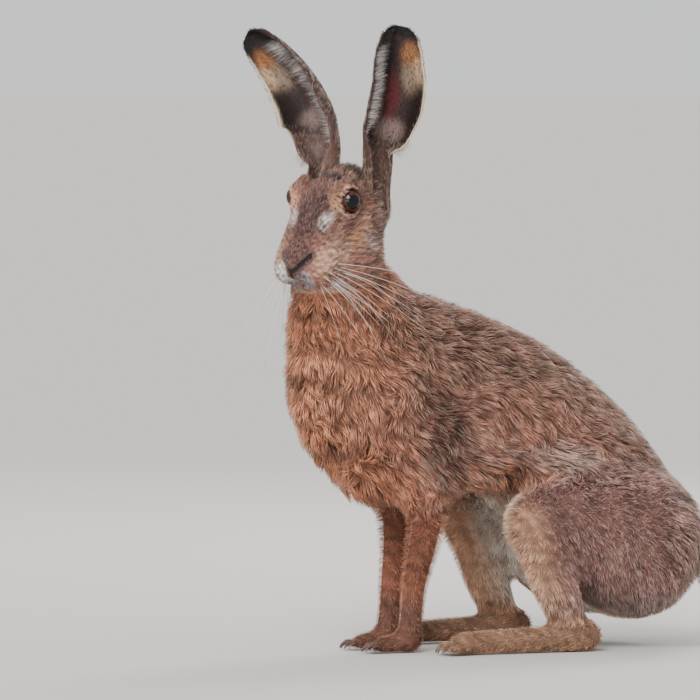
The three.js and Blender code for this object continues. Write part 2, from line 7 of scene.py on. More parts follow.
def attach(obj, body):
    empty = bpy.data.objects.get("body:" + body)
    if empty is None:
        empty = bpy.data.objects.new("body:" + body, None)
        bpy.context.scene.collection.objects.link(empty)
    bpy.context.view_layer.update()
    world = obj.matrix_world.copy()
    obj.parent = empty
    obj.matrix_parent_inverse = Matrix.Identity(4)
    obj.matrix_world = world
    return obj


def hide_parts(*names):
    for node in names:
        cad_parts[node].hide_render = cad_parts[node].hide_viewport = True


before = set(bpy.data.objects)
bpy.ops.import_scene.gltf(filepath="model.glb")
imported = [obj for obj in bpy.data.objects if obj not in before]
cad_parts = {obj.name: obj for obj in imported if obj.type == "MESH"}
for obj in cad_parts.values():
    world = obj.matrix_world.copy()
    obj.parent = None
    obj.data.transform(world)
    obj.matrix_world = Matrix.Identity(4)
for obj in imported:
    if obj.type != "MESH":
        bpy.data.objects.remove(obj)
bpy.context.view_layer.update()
rng = np.random.default_rng(11)

# The hide: one closed surface of skin over trunk, head, legs and tail. It follows the flesh of the frame,
# further in by the depth of the coat that grows on it, so the tips of the hair end where the solids do. The
# numbers are in the solids' millimetres, with the hare facing -X and its left side at -Y.
ORIGIN = np.array([4.09, 0.0, 0.0])  # from the flesh's own origin to the frame's
BACKBONE = [
    (-98, 0, 238, 54), (-65, 0, 216, 66), (-33, 0, 202, 68), (3, 0, 186, 67), (34, 0, 165, 66),
    (60, 0, 144, 65), (86, 0, 117, 62), (107, 0, 94, 58), (117, 0, 80, 52),
]
BREAST = [(-134, 0, 268, 47), (-122, 0, 226, 63), (-118, 0, 198, 62), (-106, 0, 166, 50)]
NECK = [(-125, 1, 352, 22), (-131, 0, 330, 28), (-137, 0, 302, 36), (-132, 0, 268, 47)]
TAIL = [(154, 0, 90, 15), (174, 0, 80, 17.5), (190, 0, 58, 17), (194, 0, 36, 11)]
FORELEG = [
    (-96, 36, 186, 32), (-88, 35, 150, 28), (-78, 30, 114, 20), (-80, 25, 84, 16),
    (-85, 21, 56, 12.4), (-87, 21, 36, 10.6), (-89, 21, 14, 10.8),
]
THIGH = [(100, 40, 86, 56), (68, 42, 98, 54), (34, 54, 104, 42), (2, 64, 104, 27)]
SHIN = [(4, 64, 98, 25), (14, 64, 66, 22), (24, 65, 38, 17), (36, 65, 16, 12)]
EYE = np.array([-3.5, 23, -1.9])  # in the head's frame, on its left
EYE_RADIUS = 10.4
OPENING = 9.0  # radius of the gap between the lids
LID = 1.3  # thickness of the lids
SIDES = (("left", -1), ("right", 1))


def smooth(x, low, high):
    """Runs from 0 at low to 1 at high, eased at both ends."""
    t = np.clip((x - low) / (high - low), 0, 1)
    return t * t * (3 - 2 * t)


def length_of(v):
    """The root of the sum of squares along the last axis."""
    return np.sqrt(np.einsum("...i,...i->...", v, v))


def unit(v):
    """Vectors divided by their length."""
    return v / np.maximum(length_of(v), 1e-9)[..., None]


LIDS = unit(np.array([0.3, 0.93, 0.12]))  # the way that the gap between the lids faces


def lump(p, a, b, ra, rb, slim=1.0):
    """Distance to a capsule from a to b whose radius runs from ra to rb, its width in Y scaled by slim."""
    stretch = np.array([1, 1 / slim, 1], np.float32)
    a, b = np.asarray(a, np.float32) * stretch, np.asarray(b, np.float32) * stretch
    way = b - a
    q = p * stretch - a
    t = np.clip(q @ way / max(way @ way, 1e-6), 0, 1)
    q -= t[:, None] * way
    return length_of(q) - (ra + (rb - ra) * t)


def melt(softness, *fields):
    """Distances joined by their minimum, with a fillet of about the softness where they meet."""
    d = fields[0]
    for e in fields[1:]:
        h = np.maximum(softness - np.abs(d - e), 0) / softness
        d = np.minimum(d, e) - h * h * softness / 4
    return d


def curve(stations, f):
    """Points at shares f along a smooth curve: each cubic is set by its two stations and their neighbours."""
    s = np.asarray(stations, float)
    pad = np.vstack([2 * s[0] - s[1], s, 2 * s[-1] - s[-2]])
    x = np.asarray(f) * (len(s) - 1)
    i = np.minimum(x.astype(int), len(s) - 2)
    t = (x - i)[..., None]
    p, q, r, z = pad[i], pad[i + 1], pad[i + 2], pad[i + 3]
    return (2 * q + (r - p) * t + (2 * p - 5 * q + 4 * r - z) * t**2 + (3 * q - p - 3 * r + z) * t**3) / 2


def stroke(p, line, radii, slim=1.0):
    """Distance to a rounded stroke along a line of places, each with its radius: the least over its links."""
    d = np.full(len(p), 1e3, np.float32)
    for i in range(len(line) - 1):
        d = np.minimum(d, lump(p, line[i], line[i + 1], radii[i], radii[i + 1], slim))
    return d


def limb(p, stations, slim=1.0):
    """Distance to a smooth limb through (x, y, z, radius) stations."""
    nodes = curve(stations, np.linspace(0, 1, (len(stations) - 1) * 3 + 1))
    return stroke(p, nodes[:, :3], nodes[:, 3], slim)


def turn(axis, degrees):
    """The matrix of a turn by degrees about axis 0, 1 or 2."""
    c, s = np.cos(np.radians(degrees)), np.sin(np.radians(degrees))
    i, j = [(1, 2), (2, 0), (0, 1)][axis]
    m = np.eye(3)
    m[i, i] = m[j, j] = c
    m[j, i], m[i, j] = s, -s
    return m


HEAD_AT = np.array([-160, -8, 360])
HEAD_TURN = turn(2, 210) @ turn(1, 36) @ turn(0, -4)


def to_head(p):
    """Places in the head's own frame, from between the eyes: +X to the nose, +Y to its left, +Z up."""
    return ((p - HEAD_AT) @ HEAD_TURN).astype(np.float32)


def from_head(h):
    """Places given in the head's own frame, turned and moved back to the body's."""
    return np.asarray(h, float) @ HEAD_TURN.T + HEAD_AT


def one_side(p):
    """Places with one side turned over onto the other, so that Y is their distance from the middle."""
    return (p * [1, 0, 1] + np.abs(p) * [0, 1, 0]).astype(np.float32)


def from_eye(p):
    """Distance from the middle of the nearer eye."""
    return length_of(one_side(to_head(p)) - EYE)


def lid_frame(m):
    """Places from the middle of an eye: ahead along its lids, over it, and out through their gap."""
    ahead = unit(np.array([1, 0, 0]) - LIDS * LIDS[0])
    q = m - EYE
    return q @ ahead, q @ np.cross(ahead, LIDS), q @ LIDS


def trunk(p):
    """Backbone, breast and neck as limbs slimmer than they are deep, with rump and flanks melted in."""
    rump = melt(20, *[lump(p, (94, y, 82), (94, y, 82), 56, 56) for y in (-34, 34)])
    flanks = [lump(p, (-80, s * 30, 148), (-30, s * 36, 150), 24, 24) for s in (-1, 1)]
    return melt(18, limb(p, BACKBONE, 61 / 67), limb(p, BREAST, 0.86), limb(p, NECK, 0.9), rump, *flanks)


def skull(h):
    """The head in its own frame: braincase, bridge, muzzle, jaw and nose, and the soft parts at its sides."""
    def both(a, b, ra, rb):
        return [lump(h, (a[0], s * a[1], a[2]), (b[0], s * b[1], b[2]), ra, rb) for s in (1, -1)]

    return melt(
        7,
        lump(h, (-32, 0, -14), (-8, 0, -9), 23, 22),
        lump(h, (6, 0, -8), (52, 0, -25), 18.5, 10.5),
        lump(h, (10, 0, -24), (44, 0, -32), 19, 13),
        lump(h, (-14, 0, -38), (45, 0, -47), 15, 8.5),
        lump(h, (60, 0, -27), (60, 0, -27), 5.5, 5.5),
        *both((-4, 17.2, -1.5), (-4, 17.2, -1.5), 13.7, 13.7),
        *both((-31, 18, -32), (6, 14, -30), 18, 14.5),
        *both((7, 12.5, -13), (41, 13.5, -27), 14.5, 12.8),
        *both((30, 12, -32), (49, 14.5, -34), 13, 11.5),
        *both((-41, 17, -10), (-40, 15, -26), 11, 15),
    )


def toes(p, middle, spread, reach, low, side):
    """Four short toes that fan out ahead of a paw."""
    parts = []
    for fan in (-1, -1 / 3, 1 / 3, 1):
        tip = (middle[0] - reach * (1 - 0.18 * fan**2), side * middle[1] + fan * spread / 2, low)
        root = (middle[0] + reach, side * middle[1] + fan * spread / 3.4, low + 2)
        parts.append(lump(p, root, tip, low * 0.95, low * 0.85))
    return melt(1.2, *parts)


def legs(p):
    """For each side, a foreleg with its paw and a hind leg with its long foot, and toes ahead of both."""
    parts = []
    for _, s in SIDES:
        fore = limb(p, [(x, s * y, z, r) for x, y, z, r in FORELEG])
        paw = lump(p, (-90, s * 21, 8.8), (-113, s * 21, 6.4), 10, 7.6, 1.15)
        hind = limb(p, [(x, s * y, z, r) for x, y, z, r in THIGH])
        shin = limb(p, [(x, s * y, z, r) for x, y, z, r in SHIN])
        foot = lump(p, (46, s * 65, 11.5), (-64, s * 65, 8.8), 12.5, 10, 1.1)
        parts += [melt(2, melt(8, fore, paw), toes(p, (-115, 21), 16, 9, 5, s))]
        parts += [melt(2, melt(14, hind, shin, foot), toes(p, (-66, 65), 23, 12, 6, s))]
    return melt(3, *parts)


def flesh(p):
    """Distance to the flesh with its coat, out to the tips."""
    return melt(6, melt(24, melt(10, trunk(p), skull(to_head(p))), legs(p)), limb(p, TAIL))


def in_head(p):
    """1 in the head and 0 in the rest of the body."""
    h = to_head(p)
    return smooth(h[:, 2], -68, -52) * smooth(h[:, 0], -60, -38) * smooth(p[:, 2], 280, 287)


def coat_depth(p):
    """How far the coat's tips stand off the hide: deep on trunk and breast, thin on legs, feet and face."""
    h = to_head(p)
    rump = smooth(p[:, 0], 62, 92) * smooth(p[:, 2], 20, 60)
    body = 2.2 + 5.3 * np.maximum(smooth(p[:, 2], 24, 120), rump)
    face = 0.7 + 2.6 * smooth(h[:, 0], 62, -20) + 2.2 * smooth(h[:, 0], -10, -45)
    face = face + (0.5 - face) * smooth(from_eye(p), 20, 13)
    return body + (face - body) * in_head(p)


def slope(field, p, e=0.25):
    """The field's value and its slope, by small steps along each axis."""
    d = field(p)
    steps = [(field(p + np.eye(3, dtype=np.float32)[i] * e) - d) / e for i in range(3)]
    return d, np.stack(steps, 1)


def settle(field, p, most, turns=3):
    """Moves points onto the surface of the field down its slope, by no more than most in all."""
    start = p.copy()
    for _ in range(turns):
        d, g = slope(field, p)
        p = p - g * (d / np.maximum(np.einsum("ij,ij->i", g, g), 0.1))[:, None]
        away = p - start
        p = start + away * np.minimum(1, most / np.maximum(length_of(away), 1e-6))[:, None]
    return p.astype(np.float32)


def traced(*points):
    """A smooth line through places of the head, laid onto the flesh."""
    line = curve(points, np.linspace(0, 1, len(points) * 4))
    return to_head(settle(flesh, from_head(line).astype(np.float32), 14, 6))


NOSTRIL = traced((67, 0.5, -22.5), (62, 6, -20.5), (50, 12.3, -17))
CLEFT = traced((67, 0, -22.5), (65, 0, -34), (57, 0, -46))
MOUTH = traced((57, 0, -46), (55, 10, -48.5), (47, 18, -50))


def lines(h):
    """Distance to the slits of the nose, its cleft and the mouth. The right nostril is drawn nearly shut."""
    m = one_side(h)
    strokes = ((NOSTRIL, 1.9, 2.3), (CLEFT, 1.5, 1.5), (MOUTH, 1.5, 0.8))
    away = [stroke(m, line, np.linspace(a, b, len(line))) for line, a, b in strokes]
    away[0] += 1.5 * smooth(h[:, 1], -1, -4)
    return np.minimum.reduce(away)


def face(h, d):
    """The finer forms of the face: lids round each eye, sockets, nostrils, cleft and line of the mouth."""
    m = one_side(h)
    a, b, c = lid_frame(m)
    off = length_of(m - EYE)
    shell = np.maximum(off - EYE_RADIUS - LID, -c - 2)
    d = melt(3.0, d, shell)
    brow = lump(m, (4, 18.5, 9.5), (-12, 20, 9), 3.4, 3.4)
    d = melt(5.0, d, brow)
    gap = np.maximum(np.hypot(a, b) - OPENING, 1.5 - c)
    d = -melt(0.7, -d, gap)
    corner = lump(m, (7.5, 27, -4), (11, 24, -6), 1.3, 0.6)
    d = np.maximum(d, -corner)
    d = np.maximum(d, -(off - EYE_RADIUS - 0.05))
    return -melt(0.8, -d, lines(h))


def hide(p):
    """Distance to the skin."""
    d = flesh(p) + coat_depth(p)
    h = to_head(p)
    near = (np.abs(h - [20, 0, -20]) < [58, 46, 48]).all(1)
    d[near] = face(h[near], d[near])
    return np.maximum(d, 0.4 - p[:, 2])


def upsample(a, k):
    """A grid k times finer, with values between its points taken in proportion along each axis."""
    for axis in range(3):
        x = np.arange((a.shape[axis] - 1) * k + 1) / k
        i = np.minimum(x.astype(int), a.shape[axis] - 2)
        t = (x - i).reshape([-1 if j == axis else 1 for j in range(3)])
        a = a.take(i, axis) * (1 - t) + a.take(i + 1, axis) * t
    return a


def net(field, low, high, cell, coarse=3):
    """A closed surface of quads: one point in each grid cell that the surface crosses, the mean of where it
    crosses the cell's edges, and a quad round each crossed edge. The grid is only fine near the surface."""
    size = np.ceil((np.array(high) - low) / (cell * coarse)).astype(int) + 1
    axes = [low[i] + np.arange(size[i]) * cell * coarse for i in range(3)]
    points = np.stack(np.meshgrid(*axes, indexing="ij"), -1).reshape(-1, 3).astype(np.float32)
    value = upsample(field(points).reshape(size), coarse)
    near = np.abs(value) < cell * coarse
    value[near] = field((np.argwhere(near) * cell + low).astype(np.float32))
    cells = np.array(value.shape) - 1
    total, count = np.zeros((*cells, 3)), np.zeros(cells, int)
    crossed = []
    for axis in range(3):
        a, b = value.take(range(cells[axis]), axis), value.take(range(1, cells[axis] + 1), axis)
        cross = (a < 0) != (b < 0)
        t = np.where(cross, a / np.where(cross, a - b, 1), 0)
        crossed.append((cross, a < 0))
        others = [i for i in range(3) if i != axis]
        for du in (0, 1):
            for dv in (0, 1):
                part = [slice(None)] * 3
                part[others[0]] = slice(du, du + cells[others[0]])
                part[others[1]] = slice(dv, dv + cells[others[1]])
                c = cross[tuple(part)]
                total[..., axis] += t[tuple(part)]
                total[..., others[0]] += c * du
                total[..., others[1]] += c * dv
                count += c
    used = count > 0
    index = np.full(cells, -1)
    index[used] = np.arange(used.sum())
    places = (np.argwhere(used) + total[used] / count[used][:, None]) * cell + low
    quads = []
    for axis, (cross, inside) in enumerate(crossed):
        at = np.argwhere(cross)
        u, v = np.eye(3, dtype=int)[(axis + 1) % 3], np.eye(3, dtype=int)[(axis + 2) % 3]
        ring = np.stack([index[tuple((at - s).T)] for s in (u + v, v, u * 0, u)], 1)
        out = inside[tuple(at.T)]
        quads.append(np.where(out[:, None], ring, ring[:, ::-1]))
    return places.astype(np.float32), np.vstack(quads)


def mesh_of(name, points, faces):
    """A smooth-shaded object at the origin, from places in millimetres and arrays of quads and triangles."""
    mesh = bpy.data.meshes.new(name)
    corners = np.concatenate([f.ravel() for f in faces]).astype(np.int32)
    sizes = np.concatenate([np.full(len(f), f.shape[1]) for f in faces]).astype(np.int32)
    mesh.vertices.add(len(points))
    mesh.vertices.foreach_set("co", ((points + ORIGIN) * 0.001).astype(np.float32).ravel())
    mesh.loops.add(len(corners))
    mesh.loops.foreach_set("vertex_index", corners)
    mesh.polygons.add(len(sizes))
    mesh.polygons.foreach_set("loop_start", (np.cumsum(sizes) - sizes).astype(np.int32))
    mesh.update(calc_edges=True)
    mesh.validate()
    mesh.shade_smooth()
    piece = bpy.data.objects.new(name, mesh)
    bpy.context.scene.collection.objects.link(piece)
    return piece


def places_of(mesh):
    flat = np.empty(len(mesh.vertices) * 3, np.float32)
    mesh.vertices.foreach_get("co", flat)
    return flat.reshape(-1, 3) * 1000 - ORIGIN


CELL = 3.0  # of the grid that the hide is found on
places, quads = net(hide, np.array([-232.0, -108.0, -6.0]), (214, 108, 412), CELL)
places = settle(hide, places, CELL)
skin = mesh_of("skin", places, [quads])


def unwrap(piece):
    """Lays the surface out flat in islands, in a map named for the bake."""
    piece.data.uv_layers.new(name="OFBake")
    bpy.context.view_layer.objects.active = piece
    piece.select_set(True)
    bpy.ops.object.mode_set(mode="EDIT")
    bpy.ops.mesh.select_all(action="SELECT")
    bpy.ops.uv.smart_project(angle_limit=1.15, island_margin=0.002)
    bpy.ops.object.mode_set(mode="OBJECT")
    piece.select_set(False)


def refine(piece, field, wanted):
    """Splits each quad where wanted into four, and settles the points on the field again."""
    finer = bmesh.new()
    finer.from_mesh(piece.data)
    middles = np.array([f.calc_center_median() for f in finer.faces]) * 1000 - ORIGIN
    finer.faces.ensure_lookup_table()
    edges = {e for i in np.flatnonzero(wanted(middles)) for e in finer.faces[i].edges}
    bmesh.ops.subdivide_edges(finer, edges=list(edges), cuts=1, use_grid_fill=True)
    finer.to_mesh(piece.data)
    finer.free()
    fine = places_of(piece.data).astype(np.float32)
    touched = wanted(fine)
    fine[touched] = settle(field, fine[touched], 2.0)
    piece.data.vertices.foreach_set("co", ((fine + ORIGIN) * 0.001).astype(np.float32).ravel())
    piece.data.update()


def muzzle_and_eyes(p):
    """True ahead of the cheeks and round the eyes."""
    return (in_head(p) > 0.5) & ((to_head(p)[:, 0] > 34) | (from_eye(p) < 15))


def lids_and_slits(p):
    """True by the lids and by the lines of nose and mouth."""
    return (in_head(p) > 0.5) & ((np.abs(from_eye(p) - EYE_RADIUS) < 3.4) | (lines(to_head(p)) < 2))


unwrap(skin)
refine(skin, hide, lambda p: in_head(p) > 0.2)
refine(skin, hide, muzzle_and_eyes)
refine(skin, hide, lids_and_slits)
skin.data.shade_smooth()


def linear(hex_colour):
    """An sRGB hex colour as linear red, green and blue."""
    c = np.array([int(hex_colour[i:i + 2], 16) for i in (1, 3, 5)]) / 255
    return np.where(c <= 0.04045, c / 12.92, ((c + 0.055) / 1.055) ** 2.4)


def wander(p, size, seed):
    """Three smooth random values at each place, in -1 to 1: sums of sine waves about one size long."""
    draw = np.random.default_rng(seed)
    total = np.zeros((len(p), 3))
    for _ in range(5):
        way = unit(draw.normal(size=(3, 3))) * 2 * np.pi / (size * draw.uniform(0.7, 1.5, (3, 1)))
        total += np.sin(p @ way.T + draw.uniform(0, 6.3, 3))
    return total / 3


def near(p, middle, radii, edge=0.45):
    """1 inside an ellipsoid and 0 outside it, with a soft edge as a share of its size."""
    return smooth(length_of((p - np.array(middle)) / np.array(radii)), 1 + edge, 1 - edge)


def paint(colour, mask, hex_colour):
    """Lays a colour over others by a mask."""
    return colour + (linear(hex_colour) - colour) * mask[:, None]


def face_colour(h):
    """The head's markings in its frame: speckled crown, dark bridge, pale rings, cheeks, lips and chin, with
    a painted highlight on a fold of the crown and painted shade on the left lip.
    """
    m = one_side(h)
    x, y, z = m.T
    ahead, over, out = lid_frame(m)
    ring = np.where(out > -4, np.hypot(ahead, over), 30)
    fleck = wander(m * [0.5, 1, 1], 3.2, 21)
    c = np.tile(linear("#9a6858"), (len(h), 1))
    for middle, radii, hex_colour in (
        ((22, 0, 2), (38, 14, 15), "#613e3a"),  # bridge
        ((-12, 0, 14), (20, 24, 14), "#855647"),  # crown
        ((8, 27, -25), (24, 14, 12), "#b58366"),  # cheek under the eye
        ((36, 20, -28), (19, 13, 12), "#dcae93"),  # side of the muzzle
        ((-30, 27, -28), (20, 16, 20), "#8f6c60"),  # back of the cheek
        ((-14, 34, -46), (16, 12, 14), "#855c50"),  # corner of the jaw
        ((2, 36, -37), (5, 7, 12), "#c0a399"),  # grey band down the cheek
        ((-12, 37, -34), (6, 8, 14), "#6f4a40"),  # dark band behind it
        ((11, 30, -28), (6, 5, 5), "#d19c68"),  # golden spot
        ((9, 26, -18), (9, 6, 6), "#8c5646"),  # red brown under the eye
        ((53, 4, -13), (12, 8, 8), "#6b4642"),  # top of the nose
        ((9, 19, 3), (8, 5, 8), "#dda783"),  # before the eye
        ((23, 15, -4), (9, 5, 5), "#e6dad2"),  # pale patch before and below the eye
        ((-20, 21, 3), (6, 4, 5), "#e6cfc0"),  # over the eye
        ((-20, 30, -12), (5, 5, 10), "#b46c46"),  # behind the eye
        ((59, 7, -35), (8, 8, 9), "#a9a1a3"),  # front of the lips in grey: painted shade, kept on the left lip; the right pad is painted white over it further down
    ):
        c = paint(c, near(m, middle, radii), hex_colour)
    c = paint(c, near(m, (27, 13, -8), (6, 4, 4)) * smooth(fleck[:, 0], 0.0, 0.4), "#33242a")
    c = paint(c, smooth(np.abs(ring - 12.6), 1.7, 0.7) * smooth(over, 5, 0), "#cbaa98")
    c = paint(c, smooth(np.abs(ring - 15.2), 1.8, 0.8) * smooth(over, 0, -3), "#7b4a3c")
    c = paint(c, smooth(np.abs(ring - 11.8), 1.8, 0.6) * smooth(over, 0, 6) * 0.7, "#cfa384")
    crown = smooth(np.abs(y), 27, 20) * smooth(z, -14, -4)
    c = paint(c, crown * smooth(np.abs(x + 19), 6.0, 2.5), "#2c1712")
    # A thin pale line behind the dark band: a painted highlight on a fold across the crown.
    c = paint(c, crown * smooth(np.abs(x + 28), 2.6, 1.0) * smooth(fleck[:, 2], -0.6, 0.2), "#d6a684")
    c = paint(c, crown * smooth(x, -30, -33), "#5b3529")
    # The right whisker pad in its own white, over the grey; the left keeps the grey of painted shade.
    c = paint(c, near(h, (60, -13, -31), (10, 9, 9)), "#f4eeea")
    rows = smooth(np.sin((z + 0.25 * x) * 2 * np.pi / 4.6), 0.5, 0.95)
    c = paint(c, rows * near(m, (42, 18, -33), (18, 10, 10)) * 0.6, "#7b4f3e")
    slits = lines(h)
    c = paint(c, smooth(slits, 4, 1) * smooth(z, -30, -26), "#5e4543")
    c = paint(c, smooth(z, -43, -46) * smooth(x, 40, 46), "#978a80")
    c = paint(c, smooth(z, -45, -50) * smooth(x, 50, 42), "#8d573f")
    c = paint(c, smooth(from_head(h)[:, 2] + 2.5 * fleck[:, 2], 292, 285), "#a3664b")
    c = c * (1 + 0.6 * fleck[:, 1:2] * smooth(slits, 0, 6)[:, None])
    return np.maximum(c, 0.003)


def breast_edge(z):
    """How far back the russet of the breast reaches, by height."""
    return np.interp(z, [60, 118, 158, 198, 254, 300, 340], [-52, -93, -112, -122, -126, -116, -100])


def on_haunch(p):
    """1 on the haunches and 0 elsewhere."""
    return near(one_side(p), (66, 84, 84), (96, 44, 76), 0.15)


def body_colour(p, n):
    """The markings of trunk, legs and tail."""
    m = one_side(p)
    x, y, z = p.T
    facing = n[:, 1] * np.sign(y)
    c = np.tile(linear("#bd816c"), (len(p), 1))
    c = paint(c, smooth(n[:, 2], 0.0, 0.6), "#a07a6c")
    c = paint(c, smooth(z, 215, 262) * smooth(n[:, 2], -0.2, 0.4), "#95695a")
    c = paint(c, near(m, (20, 58, 156), (32, 26, 13)) * 0.55, "#e3c3b8")
    c = paint(c, near(m, (-34, 52, 136), (56, 30, 16)), "#cb8867")
    c = paint(c, near(m, (-78, 62, 176), (26, 24, 38)) * 0.9, "#6c4236")
    c = paint(c, near(m, (-30, 60, 228), (50, 24, 14)) * 0.5, "#7a5a50")
    haunch = on_haunch(p)
    c = paint(c, haunch, "#ae8077")
    c = paint(c, haunch * smooth(z, 56, 24), "#8e7a74")
    c = paint(c, smooth(x, 92, 150), "#a38578")
    c = paint(c, smooth(breast_edge(z) - x, -34, 28), "#cb8463")
    c = paint(c, smooth(breast_edge(z) - x, -10, 20) * smooth(np.abs(z - 212), 52, 14), "#e39b79")
    c = paint(c, smooth(z, 132, 100) * smooth(x, -46, -60), "#b06f55")
    c = paint(c, smooth(z, 60, 26) * smooth(x, -46, -60), "#8f6150")
    low = smooth(z, 136, 118) * smooth(x, -60, -48) * smooth(x, 110, 80)
    c = paint(c, low * np.maximum(smooth(facing, 0.1, -0.4), smooth(np.abs(y), 46, 36)), "#ffe9d9")
    front = np.interp(z, [19, 40, 66, 82, 109, 124], [22, 4, -9, -15, -25, -20])
    shin = smooth(x - front, 34, 4) * smooth(z, 130, 112) * smooth(x, -44, -34) * smooth(np.abs(y), 36, 46)
    c = paint(c, shin, "#ffc6a4")
    c = paint(c, smooth(z, 40, 30) * smooth(np.abs(y), 44, 52) * smooth(x, 66, 52), "#c09274")
    tail = smooth(limb(p.astype(np.float32), TAIL), 6, 0) * smooth(x, 160, 168)
    c = paint(c, tail, "#e4ddd2")
    return paint(c, tail * smooth(np.abs(y), 9, 5) * smooth(n[:, 0], -0.2, 0.3), "#1c1716")


def crease_shade(p):
    """Painted shade in the creases that cross the breast, about as far apart as a finger is wide: 1 in a
    crease and 0 elsewhere.
    """
    wave = np.sin((p[:, 2] + 0.25 * np.abs(p[:, 1])) * 2 * np.pi / 27 + 1.6 * wander(p, 60, 8)[:, 0])
    on_breast = smooth(breast_edge(p[:, 2]) - p[:, 0], -8, 10) * smooth(p[:, 2], 130, 160)
    return smooth(wave, 0.55, 0.95) * on_breast


def coat_colour(p, n):
    """The markings of body and face by the share of each, with a mottle in patches of two sizes, and painted
    shade in the creases of the breast.
    """
    share = in_head(p)[:, None]
    mottle = 1 + 0.2 * wander(p, 26, 5)[:, :1] + 0.3 * wander(p, 7, 6)[:, :1] * (1 - share)
    # Painted shade: each crease of the breast darkens the colour by up to 62 percent, but not on the head.
    mottle = mottle * (1 - 0.62 * crease_shade(p) * (1 - share[:, 0]))[:, None]
    return np.maximum((body_colour(p, n) * (1 - share) + face_colour(to_head(p)) * share) * mottle, 0.004)


def dark_bare(p):
    """1 on the bare dark skin: rims of the lids, slits of the nose, and line of the mouth."""
    a, b, c = lid_frame(one_side(to_head(p)))
    rim = smooth(np.hypot(a, b), OPENING + 1.2, OPENING + 0.6) * smooth(c, 0, 2)
    rim = rim * (from_eye(p) < EYE_RADIUS + 4)
    return np.maximum(rim, smooth(lines(to_head(p)), 0.35, -0.1)) * in_head(p)


def colour_points(mesh, colour):
    layer = mesh.color_attributes.new(name="coat", type="FLOAT_COLOR", domain="POINT")
    rgba = np.ones((len(colour), 4), np.float32)
    rgba[:, :3] = np.clip(colour, 0, 1)
    layer.data.foreach_set("color", rgba.ravel())


def normals_of(mesh):
    flat = np.empty(len(mesh.vertices) * 3, np.float32)
    mesh.vertex_normals.foreach_get("vector", flat)
    return flat.reshape(-1, 3)


def add(tree, kind, inputs={}, **settings):
    """Adds a node, sets it, and gives each input a value or a link."""
    node = tree.nodes.new(kind)
    for key, value in settings.items():
        setattr(node, key, value)
    for key, value in inputs.items():
        if isinstance(value, bpy.types.NodeSocket):
            tree.links.new(value, node.inputs[key])
        else:
            node.inputs[key].default_value = value
    return node


def material(name, build):
    made = bpy.data.materials.new(name)
    made.use_nodes = True
    made.node_tree.nodes.clear()
    shader = build(made.node_tree)
    add(made.node_tree, "ShaderNodeOutputMaterial", {"Surface": shader.outputs[0]})
    return made


def hide_shader(tree):
    """Skin under fur: matt, with the same colours as the coat, and a grain of hair roots about 1.1 mm apart,
    coarser than real ones so that it shows."""
    colour = add(tree, "ShaderNodeAttribute", attribute_name="coat").outputs["Color"]
    place = add(tree, "ShaderNodeTexCoord").outputs["Object"]
    grain = add(tree, "ShaderNodeTexNoise", {"Vector": place, "Scale": 900.0, "Detail": 3.0})
    shade = add(tree, "ShaderNodeMapRange", {"Value": grain.outputs["Fac"], "To Min": 0.75, "To Max": 1.2})
    tinted = add(tree, "ShaderNodeVectorMath", {0: colour, "Scale": shade.outputs[0]}, operation="SCALE")
    bump = add(tree, "ShaderNodeBump", {"Height": grain.outputs["Fac"], "Strength": 0.5, "Distance": 0.0006})
    return add(tree, "ShaderNodeBsdfPrincipled", {
        "Base Color": tinted.outputs[0], "Roughness": 0.75, "Specular IOR Level": 0.25,
        "Normal": bump.outputs[0],
    })


points, normals = places_of(skin.data), normals_of(skin.data)
bare = dark_bare(points)[:, None]
under = 0.36 + 0.34 * in_head(points)[:, None]
colour_points(skin.data, coat_colour(points, normals) * under * (1 - bare) + linear("#17100e") * bare)
skin.data.materials.append(material("hare_hide", hide_shader))
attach(skin, "root")
for node in ("torso", "neck", "tail", "head"):
    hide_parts(node)
for name, _ in SIDES:
    for node in ("whisker_pad", "upper_arm", "forearm", "forepaw", "thigh", "shank", "hind_foot"):
        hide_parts(f"{node}_{name}")


# The coat: guard hair in thin tapered tufts, each a spike of three sides that bends to lie along the body.
# Neighbours lean together in locks, loose on breast, back and flanks, and fine on haunch and legs. The hair
# is very short on face and feet.
def lie(p, n):
    """Which way the coat lies: back from the nose, down neck and breast, back and down the trunk, and ahead
    on the feet. Each place's directions are weighed together and laid flat on the skin."""
    x, y, z = p.T
    side = np.sign(y)[:, None] * smooth(np.abs(y), 2, 30)[:, None]
    way = np.array([0.8, 0, -0.6]) + side * [0, 0.1, 0]

    def turned(way, mask, to):
        return way + (to - way) * mask[:, None]

    way = turned(way, smooth(z, 150, 110), np.array([0.3, 0, -1.0]))
    way = turned(way, smooth(x, -60, -120), np.array([0.3, 0, -1]) + side * [0, 0.3, 0])
    way = turned(way, smooth(x, -140, -165), np.array([-0.25, 0, -1]) + side * [0, 0.5, 0])
    way = turned(way, on_haunch(p), np.array([0.25, 0, -1]))
    way = turned(way, smooth(z, 30, 18) * smooth(np.abs(y), 44, 52), np.array([-1, 0, -0.1]))
    way = turned(way, smooth(z, 24, 12) * smooth(x, -50, -60), np.array([-1, 0, -0.3]))
    way = turned(way, smooth(x, 158, 168) * smooth(z, 110, 96), np.array([0.5, 0, -0.85]))
    h = to_head(p)
    down = -0.1 - 0.5 * smooth(h[:, 2], -12, -36)
    back = np.stack([-1 + 0 * x, 0.25 * np.sign(h[:, 1]) * smooth(np.abs(h[:, 1]), 4, 24), down], 1)
    way = turned(way, in_head(p), back @ HEAD_TURN.T)
    loose = (looseness(p) * 0.3 + 0.12)[:, None]
    way = unit(way) + loose * (1.5 * wander(p, 36, 1) + wander(p, 13, 2))
    return unit(way - n * np.einsum("ij,ij->i", way, n)[:, None])


def looseness(p):
    """1 where the coat is long and shaggy, on trunk, neck and breast, and 0 where it lies close."""
    trunk_share = smooth(p[:, 2], 96, 140) * (1 - on_haunch(p) * smooth(p[:, 2], 150, 120))
    return np.maximum(trunk_share, smooth(p[:, 0], 100, 130) * smooth(p[:, 2], 50, 80)) * (1 - in_head(p))


